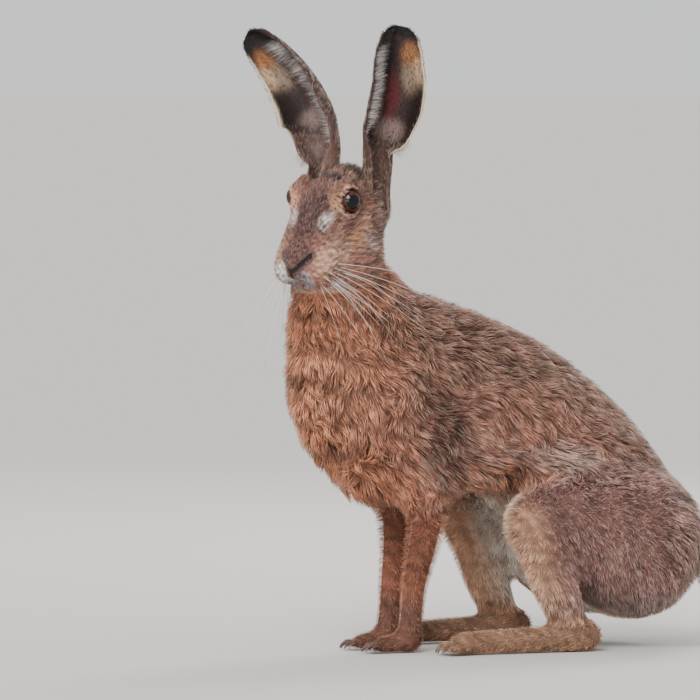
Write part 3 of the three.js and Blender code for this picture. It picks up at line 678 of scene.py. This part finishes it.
def hair_length(p):
    """Longest on the trunk and in the fringes under flank, haunch and breast."""
    x, y, z = one_side(p).T
    body = 5.0 + 2.5 * smooth(z, 30, 60) * smooth(x, -60, -46) + 10 * looseness(p)
    body = body - 2.5 * smooth(x, 26, 6) * smooth(z, 120, 100) * smooth(x, -60, -46)
    fringe = smooth(y, 44, 54) * smooth(np.abs(z - 142), 22, 10) * smooth(x, 0, -12)
    fringe = np.maximum(fringe, on_haunch(p) * smooth(z, 62, 40))
    body = body + 6 * np.maximum(fringe, smooth(np.abs(z - 128), 26, 12) * smooth(x, -100, -112))
    foot = smooth(z, 30, 18)
    body = body + (4.5 - body) * foot
    h = to_head(p)
    face = 2.4 + 3.2 * smooth(h[:, 0], 56, 0) + 2.2 * smooth(h[:, 0], -16, -42)
    face = face + (1.8 - face) * smooth(from_eye(p), 19, 13)
    return body + (face - body) * in_head(p)


def hair_density(p):
    """Tufts on each square millimetre."""
    body = 0.5 - 0.14 * looseness(p)
    face = 1.0 + 0.5 * smooth(to_head(p)[:, 0], -10, 40)
    return body + (face - body) * in_head(p)


def scatter(piece, density):
    """Seeded roots spread over a mesh: faces are drawn in turn by their area times the density, and each
    root's place, normal and map place are mixed from its face's corners."""
    mesh = piece.data
    mesh.calc_loop_triangles()
    count = len(mesh.loop_triangles)
    corners, loops = np.empty(count * 3, np.int32), np.empty(count * 3, np.int32)
    mesh.loop_triangles.foreach_get("vertices", corners)
    mesh.loop_triangles.foreach_get("loops", loops)
    corners, loops = corners.reshape(-1, 3), loops.reshape(-1, 3)
    flat = np.empty(len(mesh.loops) * 2, np.float32)
    mesh.uv_layers["OFBake"].uv.foreach_get("vector", flat)
    maps = flat.reshape(-1, 2)
    places, normals = places_of(mesh), normals_of(mesh)
    a, b, c = (places[corners[:, i]] for i in range(3))
    share = length_of(np.cross(b - a, c - a)) / 2 * density((a + b + c) / 3)
    total = np.cumsum(share)
    n = int(total[-1])
    face = np.minimum(np.searchsorted(total, (np.arange(n) + rng.random(n)) / n * total[-1]), count - 1)
    r, q = np.sqrt(rng.random(n)), rng.random(n)
    weight = np.stack([1 - r, r * (1 - q), r * q], 1)[..., None]
    return (
        (places[corners[face]] * weight).sum(1),
        unit((normals[corners[face]] * weight).sum(1)),
        (maps[loops[face]] * weight).sum(1),
    )


def spikes(paths, across, width, thick):
    """Three-sided spikes: at each place of a path but the last stands a ring of three corners, spread by
    width to the side and by thick upwards, and the last place is the tip. Returns points, quads and tris."""
    n, k, _ = paths.shape
    ahead = unit(np.gradient(paths, axis=1))
    up = unit(np.cross(ahead, across[:, None]))
    turns = np.radians([90, 210, 330])
    ring = across[:, None, None] * (np.cos(turns) * width[..., None])[..., None]
    ring = ring + up[:, :, None] * (np.sin(turns) * thick[..., None])[..., None]
    corners = (paths[:, :-1, None] + ring[:, :-1]).reshape(n, -1, 3)
    points = np.concatenate([corners, paths[:, -1:]], 1).reshape(-1, 3)
    size = 3 * (k - 1) + 1
    one = np.array([(i * 3 + j, i * 3 + (j + 1) % 3, i * 3 + 3 + (j + 1) % 3, i * 3 + 3 + j)
                    for i in range(k - 2) for j in range(3)])
    end = np.array([((k - 2) * 3 + j, (k - 2) * 3 + (j + 1) % 3, size - 1) for j in range(3)])
    first = np.arange(n)[:, None, None] * size
    return points, (one + first).reshape(-1, 4), (end + first).reshape(-1, 3)


TUFTS = 21000  # the most in a piece, which keeps it under 200,000 triangles
PATCH = 0.0015  # half of what a tuft takes up on its map


def tufts(name, paths, across, width, thick, colours, maps, hair):
    """Spikes in pieces, coloured at each place of their paths, each one a small patch of the map."""
    k = paths.shape[1]
    pieces = []
    for part, start in enumerate(range(0, len(paths), TUFTS)):
        pick = slice(start, start + TUFTS)
        points, quads, tris = spikes(paths[pick], across[pick], width[pick], thick[pick])
        piece = mesh_of(f"{name}_{part + 1}", points, [quads, tris])
        place = np.append(np.repeat(np.arange(k - 1), 3), k - 1)
        colour_points(piece.data, colours[pick][:, place].reshape(-1, 3))
        spread = np.stack([np.append(np.tile([-1, 0, 1], k - 1), 0), place / (k - 1) * 2 - 1], 1) * PATCH
        patch = (maps[pick][:, None] + spread).reshape(-1, 2)
        loops = np.concatenate([quads.ravel(), tris.ravel()])
        layer = piece.data.uv_layers.new(name="OFBake")
        layer.uv.foreach_set("vector", patch[loops].astype(np.float32).ravel())
        piece.data.materials.append(hair)
        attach(piece, "root")
        pieces.append(piece)
    return pieces


def fur_shader(tree):
    """Guard hair: keratin, dull to satin, pale at its edges, and banded about every 2.4 mm."""
    colour = add(tree, "ShaderNodeAttribute", attribute_name="coat").outputs["Color"]
    place = add(tree, "ShaderNodeTexCoord").outputs["Object"]
    bands = add(tree, "ShaderNodeTexNoise", {"Vector": place, "Scale": 420.0, "Detail": 2.0})
    shade = add(tree, "ShaderNodeMapRange", {"Value": bands.outputs["Fac"], "To Min": 0.8, "To Max": 1.2})
    tinted = add(tree, "ShaderNodeVectorMath", {0: colour, "Scale": shade.outputs[0]}, operation="SCALE")
    return add(tree, "ShaderNodeBsdfPrincipled", {
        "Base Color": tinted.outputs[0], "Roughness": 0.55, "IOR": 1.55, "Specular IOR Level": 0.3,
        "Sheen Weight": 0.12, "Sheen Roughness": 0.4,
    })


fur = material("hare_guard_hair", fur_shader)


def leaders(roots, share):
    """For each root, the number of the root that leads its lock: the nearest of those drawn by the share."""
    picked = np.flatnonzero(rng.random(len(roots)) < share)
    tree = kdtree.KDTree(len(picked))
    for i, place in zip(picked.tolist(), roots[picked].tolist()):
        tree.insert(place, i)
    tree.balance()
    return np.array([tree.find(place)[1] for place in roots.tolist()])


def tip_colour(p, base):
    """The pale band near a hair's tip: straw on the back, gold on the flanks, greyer on haunch and face."""
    pale = np.tile(linear("#fbe3d0"), (len(p), 1))
    pale = paint(pale, smooth(p[:, 2], 150, 220) * smooth(np.abs(p[:, 1]), 20, 45), "#f6d0ae")
    pale = paint(pale, on_haunch(p), "#f2d8cf")
    pale = paint(pale, smooth(breast_edge(p[:, 2]) - p[:, 0], -34, 28), "#f6bd99")
    pale = paint(pale, in_head(p), "#f6ded2")
    return base * 0.3 + pale * 0.7


def grown(roots, normals, maps):
    """Paths, widths and colours of tufts: each leaves the skin, its root sunk a little, rises to the coat's
    depth, bends over to lie along it, and leans towards the tip of its lock's leader. Roots are dark, and
    tips pale, dark or plain by chance, mostly alike within a lock, as in a ticked coat."""
    n = len(roots)
    t = np.linspace(0, 1, 3) ** 0.9
    p = roots.astype(np.float32)
    head, loose = in_head(p), looseness(p)
    lead = leaders(roots, 0.15 - 0.04 * loose + 0.06 * head)
    flow = lie(p, normals)
    flow = unit(flow + (flow[lead] - flow) * 0.4)
    across = unit(np.cross(normals, flow))
    long = hair_length(p) * rng.uniform(0.7, 1.2, n)
    draw = rng.random(n)
    rise = (coat_depth(p) + 0.25 + 1.5 * loose * draw[lead]) * rng.uniform(0.6, 1.1, n)
    reach = np.sqrt(np.maximum(long**2 - rise**2, 0.5))
    sway = rng.normal(0, 0.14, n) * long
    drop = reach**2 / (130 - 70 * head) * smooth(normals[:, 2], -0.75, -0.2)
    height = rise[:, None] * (1 - (1 - t) ** 1.8) - drop[:, None] * t**2 - 0.5 * (1 - t)
    paths = (
        roots[:, None]
        + flow[:, None] * (reach[:, None] * t)[..., None]
        + normals[:, None] * height[..., None]
        + across[:, None] * (sway[:, None] * t**2)[..., None]
    )
    pull = (0.3 + 0.35 * loose) * rng.uniform(0.6, 1, n)
    paths += ((paths[lead, -1] - paths[:, -1]) * pull[:, None])[:, None] * (t**1.7)[None, :, None]
    paths[..., 2] = np.maximum(paths[..., 2], 0.25)
    wide = (0.18 + 0.12 * (1 - head) * smooth(hair_length(p), 5, 12)) * rng.uniform(0.7, 1.4, n)
    width = wide[:, None] * (1 - 0.75 * t**1.6)
    bright = rng.uniform(0.48, 1.5, n)[lead] * rng.uniform(0.75, 1.25, n)
    base = coat_colour(p, normals) * bright[:, None]
    chance = np.where(rng.random(n) < 0.65, draw[lead], rng.random(n))
    breast = smooth(breast_edge(p[:, 2]) - p[:, 0], -34, 28) * (1 - head)
    salt = smooth(chance, 0.55, 0.35) * (0.85 - 0.3 * breast - 0.2 * head)
    pepper = smooth(chance, 0.68 + 0.2 * breast, 0.76 + 0.2 * breast) * 0.85
    tip = base + (tip_colour(p, base) - base) * salt[:, None]
    tip = tip + (base * 0.16 - tip) * pepper[:, None]
    middle = base + (tip - base) * 0.4
    dim = 0.6 - 0.4 * smooth(hair_length(p), 5.5, 11) * (1 - head)
    return paths, across, width, width * 0.6, np.stack([base * dim[:, None], middle, tip], 1), maps


def open_skin(p, n):
    """True where hair grows: not on bare skin, in the eyes, or flat on the soles."""
    sole = (p[:, 2] < 2) & (n[:, 2] < -0.5)
    return (from_eye(p) > EYE_RADIUS + 0.6) & ~sole & (dark_bare(p) < 0.3)


for name, zone, slot in (
    ("coat_body", lambda p: (1 - (in_head(p) > 0.5)) * (p[:, 2] > 40), "coat_back"),
    ("coat_legs", lambda p: (1 - (in_head(p) > 0.5)) * (p[:, 2] <= 40), "coat_russet"),
    ("coat_head", lambda p: (in_head(p) > 0.5) * 1.0, "coat_face"),
):
    roots, normals, maps = scatter(skin, lambda p: hair_density(p) * zone(p))
    kept = open_skin(roots.astype(np.float32), normals)
    for piece in tufts(name, *grown(roots[kept], normals[kept], maps[kept]), fur):
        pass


# The ears: thin sheets of gristle and skin, each a tube at its root that opens into a long cup. The back is
# brown before and grey behind, the tip black, the cup edged with silver hair, and the rear margin cream.
EAR_FORM = np.array([  # share of length, half width, depth, and the angles to the inner and outer margins
    (0, 10.5, 10.5, 150, 150), (0.34, 12, 12, 135, 145), (0.45, 19.5, 18, 92, 118), (0.58, 22, 21, 88, 112),
    (0.74, 21.5, 20, 80, 96), (0.86, 20.5, 16.5, 75, 82), (0.94, 17.5, 12, 70, 72), (0.98, 13, 8.5, 66, 66),
    (1, 7.5, 5.5, 60, 60),
])
# For each ear: its back line, the way its cup opens, a factor on its depth, the share of the form that is
# left out at its root, and the share across it where its silver hair is rooted.
EARS = {
    "left": (
        [(-109, 6, 350), (-112, 2, 366), (-113, -2, 386), (-114, -6, 402), (-109, -12, 422), (-105, -17, 446),
         (-105, -23, 470), (-101, -28, 497)],
        (-0.07, -1, 0), 1.0, 0.0, 0.97,
    ),
    "right": (
        [(-141, 17, 356), (-138, 20, 370), (-133, 24, 387), (-132, 30, 406), (-133, 39, 428), (-143, 48, 451),
         (-157, 57, 469), (-173, 65, 482), (-190, 72, 490)],
        (-0.97, -0.26, 0), 1.3, 0.24, 0.76,
    ),
}


def ear_place(name, side, f, a, inset):
    """Places on an ear at shares f of its length and a across it, from outer margin to inner: an arc about a
    line that stands before the ear's back, in by the inset. Returns places, and the ways up and out."""
    back, opens, deeper, notch, _ = EARS[name]
    fine = curve(back, np.linspace(0, 1, 241))
    run = np.insert(np.cumsum(length_of(np.diff(fine, axis=0))), 0, 0)
    spine = np.stack([np.interp(f * run[-1], run, fine[:, i]) for i in range(3)], -1)
    slopes = unit(np.gradient(fine, axis=0))
    up = unit(np.stack([np.interp(f * run[-1], run, slopes[:, i]) for i in range(3)], -1))
    g = f + notch * (1 - f)
    k = np.clip(np.searchsorted(EAR_FORM[:, 0], g), 1, len(EAR_FORM) - 1)
    low, high = EAR_FORM[k - 1], EAR_FORM[k]
    t = (g - low[..., 0]) / (high[..., 0] - low[..., 0])
    t = np.clip((smooth(t, 0, 1) + t) / 2, 0, 1)
    wide, depth, inner, outer = np.moveaxis((low + (high - low) * t[..., None])[..., 1:], -1, 0)
    deep = depth * (1 + (deeper - 1) * smooth(f, 0.3, 0.5))
    opens = np.array(opens, float)
    to = unit(opens - up * (up @ opens)[..., None])
    out = unit(np.cross(up, to) * side)
    angle = np.radians(-outer + (inner + outer) * a)
    s, c = np.sin(angle)[..., None], np.cos(angle)[..., None]
    shrink = np.asarray(inset)[..., None]
    place = spine + to * deep[..., None] + out * (wide[..., None] - shrink) * s
    place = place - to * (deep[..., None] - shrink) * c
    return place, up, unit(out * s - to * c)


def ear_colour(f, a, outside, silver):
    """Markings of an ear, by share of its length and share across it from the outer margin. Beyond the root
    of the silver hair the sheet shows the dark brown of its front margin."""
    def patch(f0, a0, rf, ra):
        return smooth(np.hypot((f - f0) / rf, (a - a0) / ra), 1.4, 0.4)

    back = np.tile(linear("#4d3733"), (len(f), 1))
    back = paint(back, smooth(a, 0.5, 0.2) * smooth(f, 0.2, 0.5), "#94857d")
    back = paint(back, smooth(f, 0.42, 0.1), "#6f5348")
    cup = np.tile(linear("#34211f"), (len(f), 1))
    for middle, radii, hex_colour in (
        ((0.8, 0.66), (0.16, 0.2), "#140c0b"),
        ((0.62, 0.52), (0.15, 0.1), "#541a1f"),
        ((0.74, 0.26), (0.1, 0.16), "#85705f"),
        ((0.86, 0.22), (0.07, 0.2), "#95633a"),
        ((0.78, 0.12), (0.08, 0.1), "#b59a7c"),
        ((0.57, 0.16), (0.13, 0.2), "#231614"),
        ((0.46, 0.45), (0.06, 0.22), "#7b6460"),
    ):
        cup = paint(cup, patch(*middle, *radii), hex_colour)
    cup = paint(cup, smooth(f, 0.42, 0.3), "#5f4841")
    cup = paint(cup, smooth(a, silver - 0.02, silver + 0.03), "#4d3733")
    c = np.where(outside[:, None], back, cup)
    c = paint(c, smooth(a, 0.05, 0.015) * smooth(f, 0.3, 0.42), "#d9c3a8")
    return paint(c, smooth(f, 0.93, 0.965), "#120e0e")


def ear_shader(tree):
    """Thin skin over gristle: satin, with a grain of about 1.4 mm, and a little light comes through it."""
    colour = add(tree, "ShaderNodeAttribute", attribute_name="coat").outputs["Color"]
    place = add(tree, "ShaderNodeTexCoord").outputs["Object"]
    grain = add(tree, "ShaderNodeTexNoise", {"Vector": place, "Scale": 700.0, "Detail": 3.0})
    bump = add(tree, "ShaderNodeBump", {"Height": grain.outputs["Fac"], "Strength": 0.35, "Distance": 0.0004})
    return add(tree, "ShaderNodeBsdfPrincipled", {
        "Base Color": colour, "Roughness": 0.6, "Specular IOR Level": 0.3, "Normal": bump.outputs[0],
        "Subsurface Weight": 0.15, "Subsurface Scale": 0.002, "Subsurface Radius": (1.0, 0.35, 0.2),
    })


ear_skin = material("ear_skin", ear_shader)
for name, side in SIDES:
    rows, columns = 72, 30
    f, a = np.meshgrid(1 - (1 - np.linspace(0, 1, rows)) ** 1.25, np.linspace(0, 1, columns), indexing="ij")
    wall = (2.4 - 1.5 * f) * (1 - 0.75 * np.abs(2 * a - 1) ** 8)
    rib = 0.35 * np.sin(a * 30) * smooth(f, 0.42, 0.5) * smooth(np.abs(a - 0.65), 0.3, 0.1)
    outer_side, _, _ = ear_place(name, side, f, a, 0 * f + 0.6)
    inner_side, _, _ = ear_place(name, side, f, a, 0.6 + wall + rib)
    ring = np.concatenate([outer_side, inner_side[:, ::-1]], 1)
    count = columns * 2
    i, j = np.meshgrid(np.arange(rows - 1) * count, np.arange(count), indexing="ij")
    k = (j + 1) % count
    quads = np.stack([i + j, i + k, i + count + k, i + count + j], -1).reshape(-1, 4)
    j = np.arange(columns - 1)
    caps = np.stack([j, j + 1, count - 2 - j, count - 1 - j], 1)
    quads = np.vstack([quads, caps[:, ::-1], caps + (rows - 1) * count])
    ear = mesh_of(f"ear_{name}_sheet", ring.reshape(-1, 3), [quads if side < 0 else quads[:, ::-1]])
    both = np.concatenate([f, f], 1).ravel(), np.concatenate([a, a[:, ::-1]], 1).ravel()
    outer = np.tile(np.arange(count) < columns, rows)
    notch, silver = EARS[name][3:]
    colour_points(ear.data, ear_colour(*both, outer, silver))
    layer = ear.data.uv_layers.new(name="OFBake")
    along = np.tile(np.append(np.linspace(0.02, 0.48, columns), np.linspace(0.52, 0.98, columns)), rows)
    loops = np.empty(len(ear.data.loops), np.int32)
    ear.data.loops.foreach_get("vertex_index", loops)
    flat = np.stack([along, 0.02 + 0.96 * both[0]], 1)[loops].astype(np.float32)
    layer.uv.foreach_set("vector", flat.ravel())
    ear.data.materials.append(ear_skin)
    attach(ear, "root")
    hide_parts(f"ear_{name}")

    # Hair of the ear: short along the back, sparse inside, and fringes on both margins. Silver hair from the
    # inner margin lies over the cup.
    open_from = (0.42 - notch) / (1 - notch)
    silver_count, silver_long = (1500, 9.5) if side < 0 else (2300, 15.0)
    for part, n, low, high, outside, long, wide in (
        ("back", 9000, 0, 1, True, 4.6, 0.2),
        ("cup", 6500, 0.03, 0.99, False, 4.0, 0.17),
        ("inner_fringe", silver_count, silver - 0.05, silver, False, silver_long, 0.17),
        ("outer_fringe", 700, 0, 0.03, True, 3.0, 0.15),
        ("corner", 200, 0, 0.1, False, 9.0, 0.16),
    ):
        hf = rng.uniform(0.02, 0.995, n)
        if "fringe" in part:
            hf = open_from - 0.02 + rng.random(n) * (0.99 - open_from)
        if part == "corner":
            hf = open_from + rng.uniform(-0.04, 0.05, n)
        ha = rng.uniform(low, high, n)
        root, up, out = ear_place(name, side, hf, ha, 0.65 + (0 if outside else 1) * (2.2 - 1.5 * hf))
        normal = out if outside else -out
        margins = [ear_place(name, side, hf, 0 * ha + edge, 0)[0] for edge in (0, 1)]
        chord = unit(margins[0] - margins[1])
        if part == "inner_fringe":
            flow = unit(chord + up * 0.45 + rng.normal(0, 0.2, (n, 3)))
        elif part == "corner":
            flow = unit(chord * 0.8 - up * 0.7 + rng.normal(0, 0.2, (n, 3)))
        else:
            flow = unit(up + unit(np.cross(up, normal)) * rng.normal(0, 0.2, n)[:, None])
        t = np.linspace(0, 1, 3)
        size = long * rng.uniform(0.5, 1.2, n) * (1 - 0.5 * smooth(hf, 0.85, 1))
        if "fringe" in part:
            size = size * smooth(hf, open_from - 0.03, open_from + 0.08)
        lift = 1.1 if part != "inner_fringe" else 0.6
        height = lift * (1 - (1 - t) ** 1.8) - 0.3 * (1 - t)
        paths = root[:, None] + flow[:, None] * (size[:, None] * t)[..., None]
        paths = paths + normal[:, None] * height[:, None]
        across = unit(np.cross(normal, flow))
        width = (wide * rng.uniform(0.7, 1.3, n))[:, None] * (1 - 0.7 * t)
        base = ear_colour(hf, ha, np.full(n, outside), silver)
        if part == "inner_fringe":
            base = paint(base * 0 + linear("#d2c6c2"), smooth(hf, 0.84, 0.9), "#1f1614")
        if part in ("outer_fringe", "corner"):
            base = paint(base * 0 + linear("#efe2cf"), smooth(hf, 0.9, 0.95), "#151010")
        streak = 1 + 0.5 * wander(root * [1, 1, 0.45], 3.2, 31)[:, :1]
        base = base * rng.uniform(0.4, 1.5, n)[:, None] * streak
        draw = rng.random(n)[leaders(root, 0.28)]
        ticked = (part == "back") | (hf < 0.42) | (ha > silver)
        salt = ((draw < 0.35) * smooth(hf, 0.92, 0.88) * ticked)[:, None]
        dark = (draw > 0.62)[:, None] * (part in ("back", "cup"))
        if part == "inner_fringe":
            base = base * np.where(draw > 0.62, 0.4, 1)[:, None]
        tip = base + (linear("#d6bda8") - base) * salt * 0.7
        tip = tip + (base * 0.2 - tip) * dark
        colours = np.stack([base * 0.6, base + (tip - base) * 0.5, tip], 1)
        maps = np.stack([0.02 + 0.46 * ha if outside else 0.98 - 0.46 * ha, 0.02 + 0.96 * hf], 1)
        for piece in tufts(f"ear_{name}_{part}", paths, across, width, width * 0.6, colours, maps, fur):
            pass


# The eyes: wet glossy balls, with a clear cornea over a dark brown iris that darkens to its rim, and a wide
# black pupil. Each sits in its socket in the hide, behind the lids.
LOOK = unit(np.array([0.425, 0.874, 0.235]))  # the way that the left pupil faces, in the head's frame
CORNEA = 0.45  # how far it stands out over the ball
PUPIL, IRIS = 0.6, 0.95  # their edges, as angles from the middle of the pupil


def eye_shader(tree):
    """Cornea and iris in one: smooth as water over a coloured ball, with flecks of about 0.6 mm."""
    colour = add(tree, "ShaderNodeAttribute", attribute_name="coat").outputs["Color"]
    place = add(tree, "ShaderNodeTexCoord").outputs["Object"]
    fleck = add(tree, "ShaderNodeTexNoise", {"Vector": place, "Scale": 1800.0, "Detail": 2.0})
    shade = add(tree, "ShaderNodeMapRange", {"Value": fleck.outputs["Fac"], "To Min": 0.7, "To Max": 1.3})
    tinted = add(tree, "ShaderNodeVectorMath", {0: colour, "Scale": shade.outputs[0]}, operation="SCALE")
    return add(tree, "ShaderNodeBsdfPrincipled", {
        "Base Color": tinted.outputs[0], "Roughness": 0.03, "IOR": 1.376,
    })


wet = material("eye_cornea", eye_shader)
for name, side in SIDES:
    rows, columns = 48, 96
    middle = from_head(EYE * [1, -side, 1])
    gaze = (LOOK * [1, -side, 1]) @ HEAD_TURN.T
    u = unit(np.cross(gaze, [0, 0, 1.0]))
    v = np.cross(u, gaze)
    sweep = np.linspace(0, 2 * np.pi, columns, endpoint=False)
    polar, sweep = np.meshgrid(np.linspace(0, np.pi, rows), sweep, indexing="ij")
    dome = EYE_RADIUS + CORNEA * smooth(polar, 0.75, 0.35)
    ball = (
        middle + gaze * (dome * np.cos(polar))[..., None]
        + u * (dome * np.sin(polar) * np.cos(sweep))[..., None]
        + v * (dome * np.sin(polar) * np.sin(sweep))[..., None]
    )
    points = np.vstack([ball[0, :1], ball[1:-1].reshape(-1, 3), ball[-1, :1]])
    i, j = np.meshgrid(np.arange(rows - 3) * columns, np.arange(columns), indexing="ij")
    k = (j + 1) % columns
    quads = np.stack([i + j, i + columns + j, i + columns + k, i + k], -1).reshape(-1, 4) + 1
    j = np.arange(columns)
    k = (j + 1) % columns
    tris = np.vstack([
        np.stack([0 * j, j + 1, k + 1], 1),
        np.stack([0 * j + len(points) - 1, k + 1 + (rows - 3) * columns, j + 1 + (rows - 3) * columns], 1),
    ])
    eye = mesh_of(f"eyeball_{name}", points, [quads, tris])
    polar = np.concatenate([[0], np.repeat(np.linspace(0, np.pi, rows)[1:-1], columns), [np.pi]])
    ray = np.concatenate([[0], np.tile(np.arange(columns), rows - 2), [0]])
    streak = 0.7 + 0.6 * rng.random(columns)[ray.astype(int)]
    colour = linear("#43201a") * streak[:, None]
    colour = paint(colour, smooth(polar, IRIS - 0.09, IRIS + 0.1), "#120a08")
    colour = paint(colour, smooth(polar, PUPIL + 0.02, PUPIL - 0.03), "#020202")
    colour_points(eye.data, colour)
    eye.data.materials.append(wet)
    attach(eye, "root")
    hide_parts(f"eye_{name}")


# The whiskers: stiff white hairs of keratin, rooted in four rows in each upper lip and swept back and down.
# Those on the right hang lower and are drawn thicker.
WHISKERS = 16  # on each side


def whisker_shader(tree):
    """White keratin: smooth, satin."""
    colour = add(tree, "ShaderNodeAttribute", attribute_name="coat").outputs["Color"]
    return add(tree, "ShaderNodeBsdfPrincipled", {"Base Color": colour, "Roughness": 0.35, "IOR": 1.55})


bristle = material("whisker_keratin", whisker_shader)
for name, side in SIDES:
    n = WHISKERS
    row, back = np.arange(n) % 4, (np.arange(n) // 4) / 3
    out = -side
    root = np.stack([54 - 15 * back, out * (15.5 + 5.5 * back), -29 - 3.2 * row - 3 * back], 1)
    root += rng.normal(0, 0.6, (n, 3))
    long = (66 + 34 * back + rng.uniform(-12, 12, n)) * (1 - 0.06 * row)
    hang = (0.35 + 0.4 * row) if side > 0 else (0.15 + 0.22 * row)
    way = np.stack([0.1 - 0.55 * back, out * (0.85 - 0.1 * row), 0 * back - 0.2], 1)
    way = way + rng.normal(0, 0.11, (n, 3))
    way = unit(unit(way) @ HEAD_TURN.T + np.stack([0 * hang, 0 * hang, -hang], 1))
    t = np.linspace(0, 1, 9)
    start = from_head(root)
    paths = start[:, None] + way[:, None] * (long[:, None] * t)[..., None]
    paths[..., 2] -= (long * (0.1 + 0.16 * hang))[:, None] * t**2
    flat = paths.reshape(-1, 3).astype(np.float32)
    d, g = slope(flesh, flat)
    clear = np.maximum(3.0 * np.tile(smooth(t, 0.1, 0.4), n) - d, 0) * np.tile(t > 0.05, n)
    paths = (flat + g * clear[:, None]).reshape(paths.shape)
    across = unit(np.cross(way, [0, 0, 1.0]))
    width = np.broadcast_to((0.22 if side < 0 else 0.34) * (1 - 0.7 * t), (n, 9))
    shade = np.clip(rng.normal(0.95, 0.1, (n, 1, 1)), 0.4, 1.05)
    colours = np.broadcast_to(linear("#ece6de"), (n, 9, 3)) * shade
    maps = np.full((n, 2), 0.5)
    for piece in tufts(f"whiskers_{name}", paths, across, width, width, colours, maps, bristle):
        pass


# The claws: dark horn, blunt from digging and running. Each is a solid of the frame that is set in the end
# of a toe, mostly hidden in its hair.
def claw_shader(tree):
    """Horn: satin, dark brown, with streaks of about 0.8 mm."""
    place = add(tree, "ShaderNodeTexCoord").outputs["Object"]
    grain = add(tree, "ShaderNodeTexNoise", {"Vector": place, "Scale": 1200.0, "Detail": 4.0})
    ramp = add(tree, "ShaderNodeMix", {0: grain.outputs["Fac"]}, data_type="RGBA")
    ramp.inputs[6].default_value = (*linear("#2a201c"), 1)
    ramp.inputs[7].default_value = (*linear("#5a4a40"), 1)
    return add(tree, "ShaderNodeBsdfPrincipled", {
        "Base Color": ramp.outputs[2], "Roughness": 0.4, "IOR": 1.55,
    })


horn = material("claw_horn", claw_shader)
for name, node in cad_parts.items():
    if name.startswith("claw"):
        node.data.materials.clear()
        node.data.materials.append(horn)


# The studio: a plain pale floor, a soft key light like a hazy sun, two large lamps, and the long lens that
# the animal is seen through.
FLOOR = 4e5  # half its width, so that its edge lies beyond where the eye can tell floor from air
floor_corners = np.array([(-1, -1, 0), (1, -1, 0), (1, 1, 0), (-1, 1, 0)]) * FLOOR
floor = mesh_of("floor", floor_corners, [np.array([[0, 1, 2, 3]])])


def floor_shader(tree):
    """Matt painted board, so that it shows no gloss."""
    return add(tree, "ShaderNodeBsdfPrincipled", {
        "Base Color": (*linear("#cbc9c5"), 1), "Roughness": 0.9,
    })


floor.data.materials.append(material("studio_floor", floor_shader))
world = bpy.data.worlds.new("studio")
bpy.context.scene.world = world
world.use_nodes = True
world.node_tree.nodes["Background"].inputs[0].default_value = (0.97, 0.98, 1.0, 1)
world.node_tree.nodes["Background"].inputs[1].default_value = 0.95


def lamp(kind, name, place, aim, size, power, colour):
    """A light that shines from its place to its aim: a disc or a sun, its size in metres or as an angle."""
    light = bpy.data.lights.new(name, kind)
    light.energy, light.color = power, colour
    if kind == "AREA":
        light.shape, light.size = "DISK", size
    else:
        light.angle = size
    holder = bpy.data.objects.new(name, light)
    holder.location = place
    holder.rotation_euler = (Vector(aim) - Vector(place)).to_track_quat("-Z", "Y").to_euler()
    bpy.context.scene.collection.objects.link(holder)


lamp("SUN", "key", (-1.5, -1.95, 2.1), (0, 0, 0.25), 0.5, 3.0, (1.0, 0.98, 0.94))
lamp("AREA", "fill", (-1.5, -1.6, 0.35), (0, 0, 0.15), 1.2, 12, (1.0, 0.98, 0.96))
lamp("AREA", "rim", (1.3, 1.3, 1.6), (0, 0, 0.25), 1.0, 30, (1.0, 0.95, 0.88))

AZIMUTH, ELEVATION = np.radians(-24), np.radians(2)
DISTANCE = 6.0
WIDTH = 0.56  # what the picture takes in at the animal
right = np.array([np.cos(AZIMUTH), np.sin(AZIMUTH), 0])
level = np.array([np.sin(AZIMUTH), -np.cos(AZIMUTH), 0])
to_camera = level * np.cos(ELEVATION) + np.array([0, 0, np.sin(ELEVATION)])
aim = right * -0.1164 + np.array([0, 0, 0.2384])  # the middle of the picture
lens = bpy.data.cameras.new("camera")
lens.sensor_width = 36
lens.lens = 36 * DISTANCE / WIDTH
lens.clip_end = 1000
camera = bpy.data.objects.new("camera", lens)
camera.location = aim + to_camera * DISTANCE
camera.rotation_euler = Vector(-to_camera).to_track_quat("-Z", "Y").to_euler()
bpy.context.scene.collection.objects.link(camera)
bpy.context.scene.camera = camera
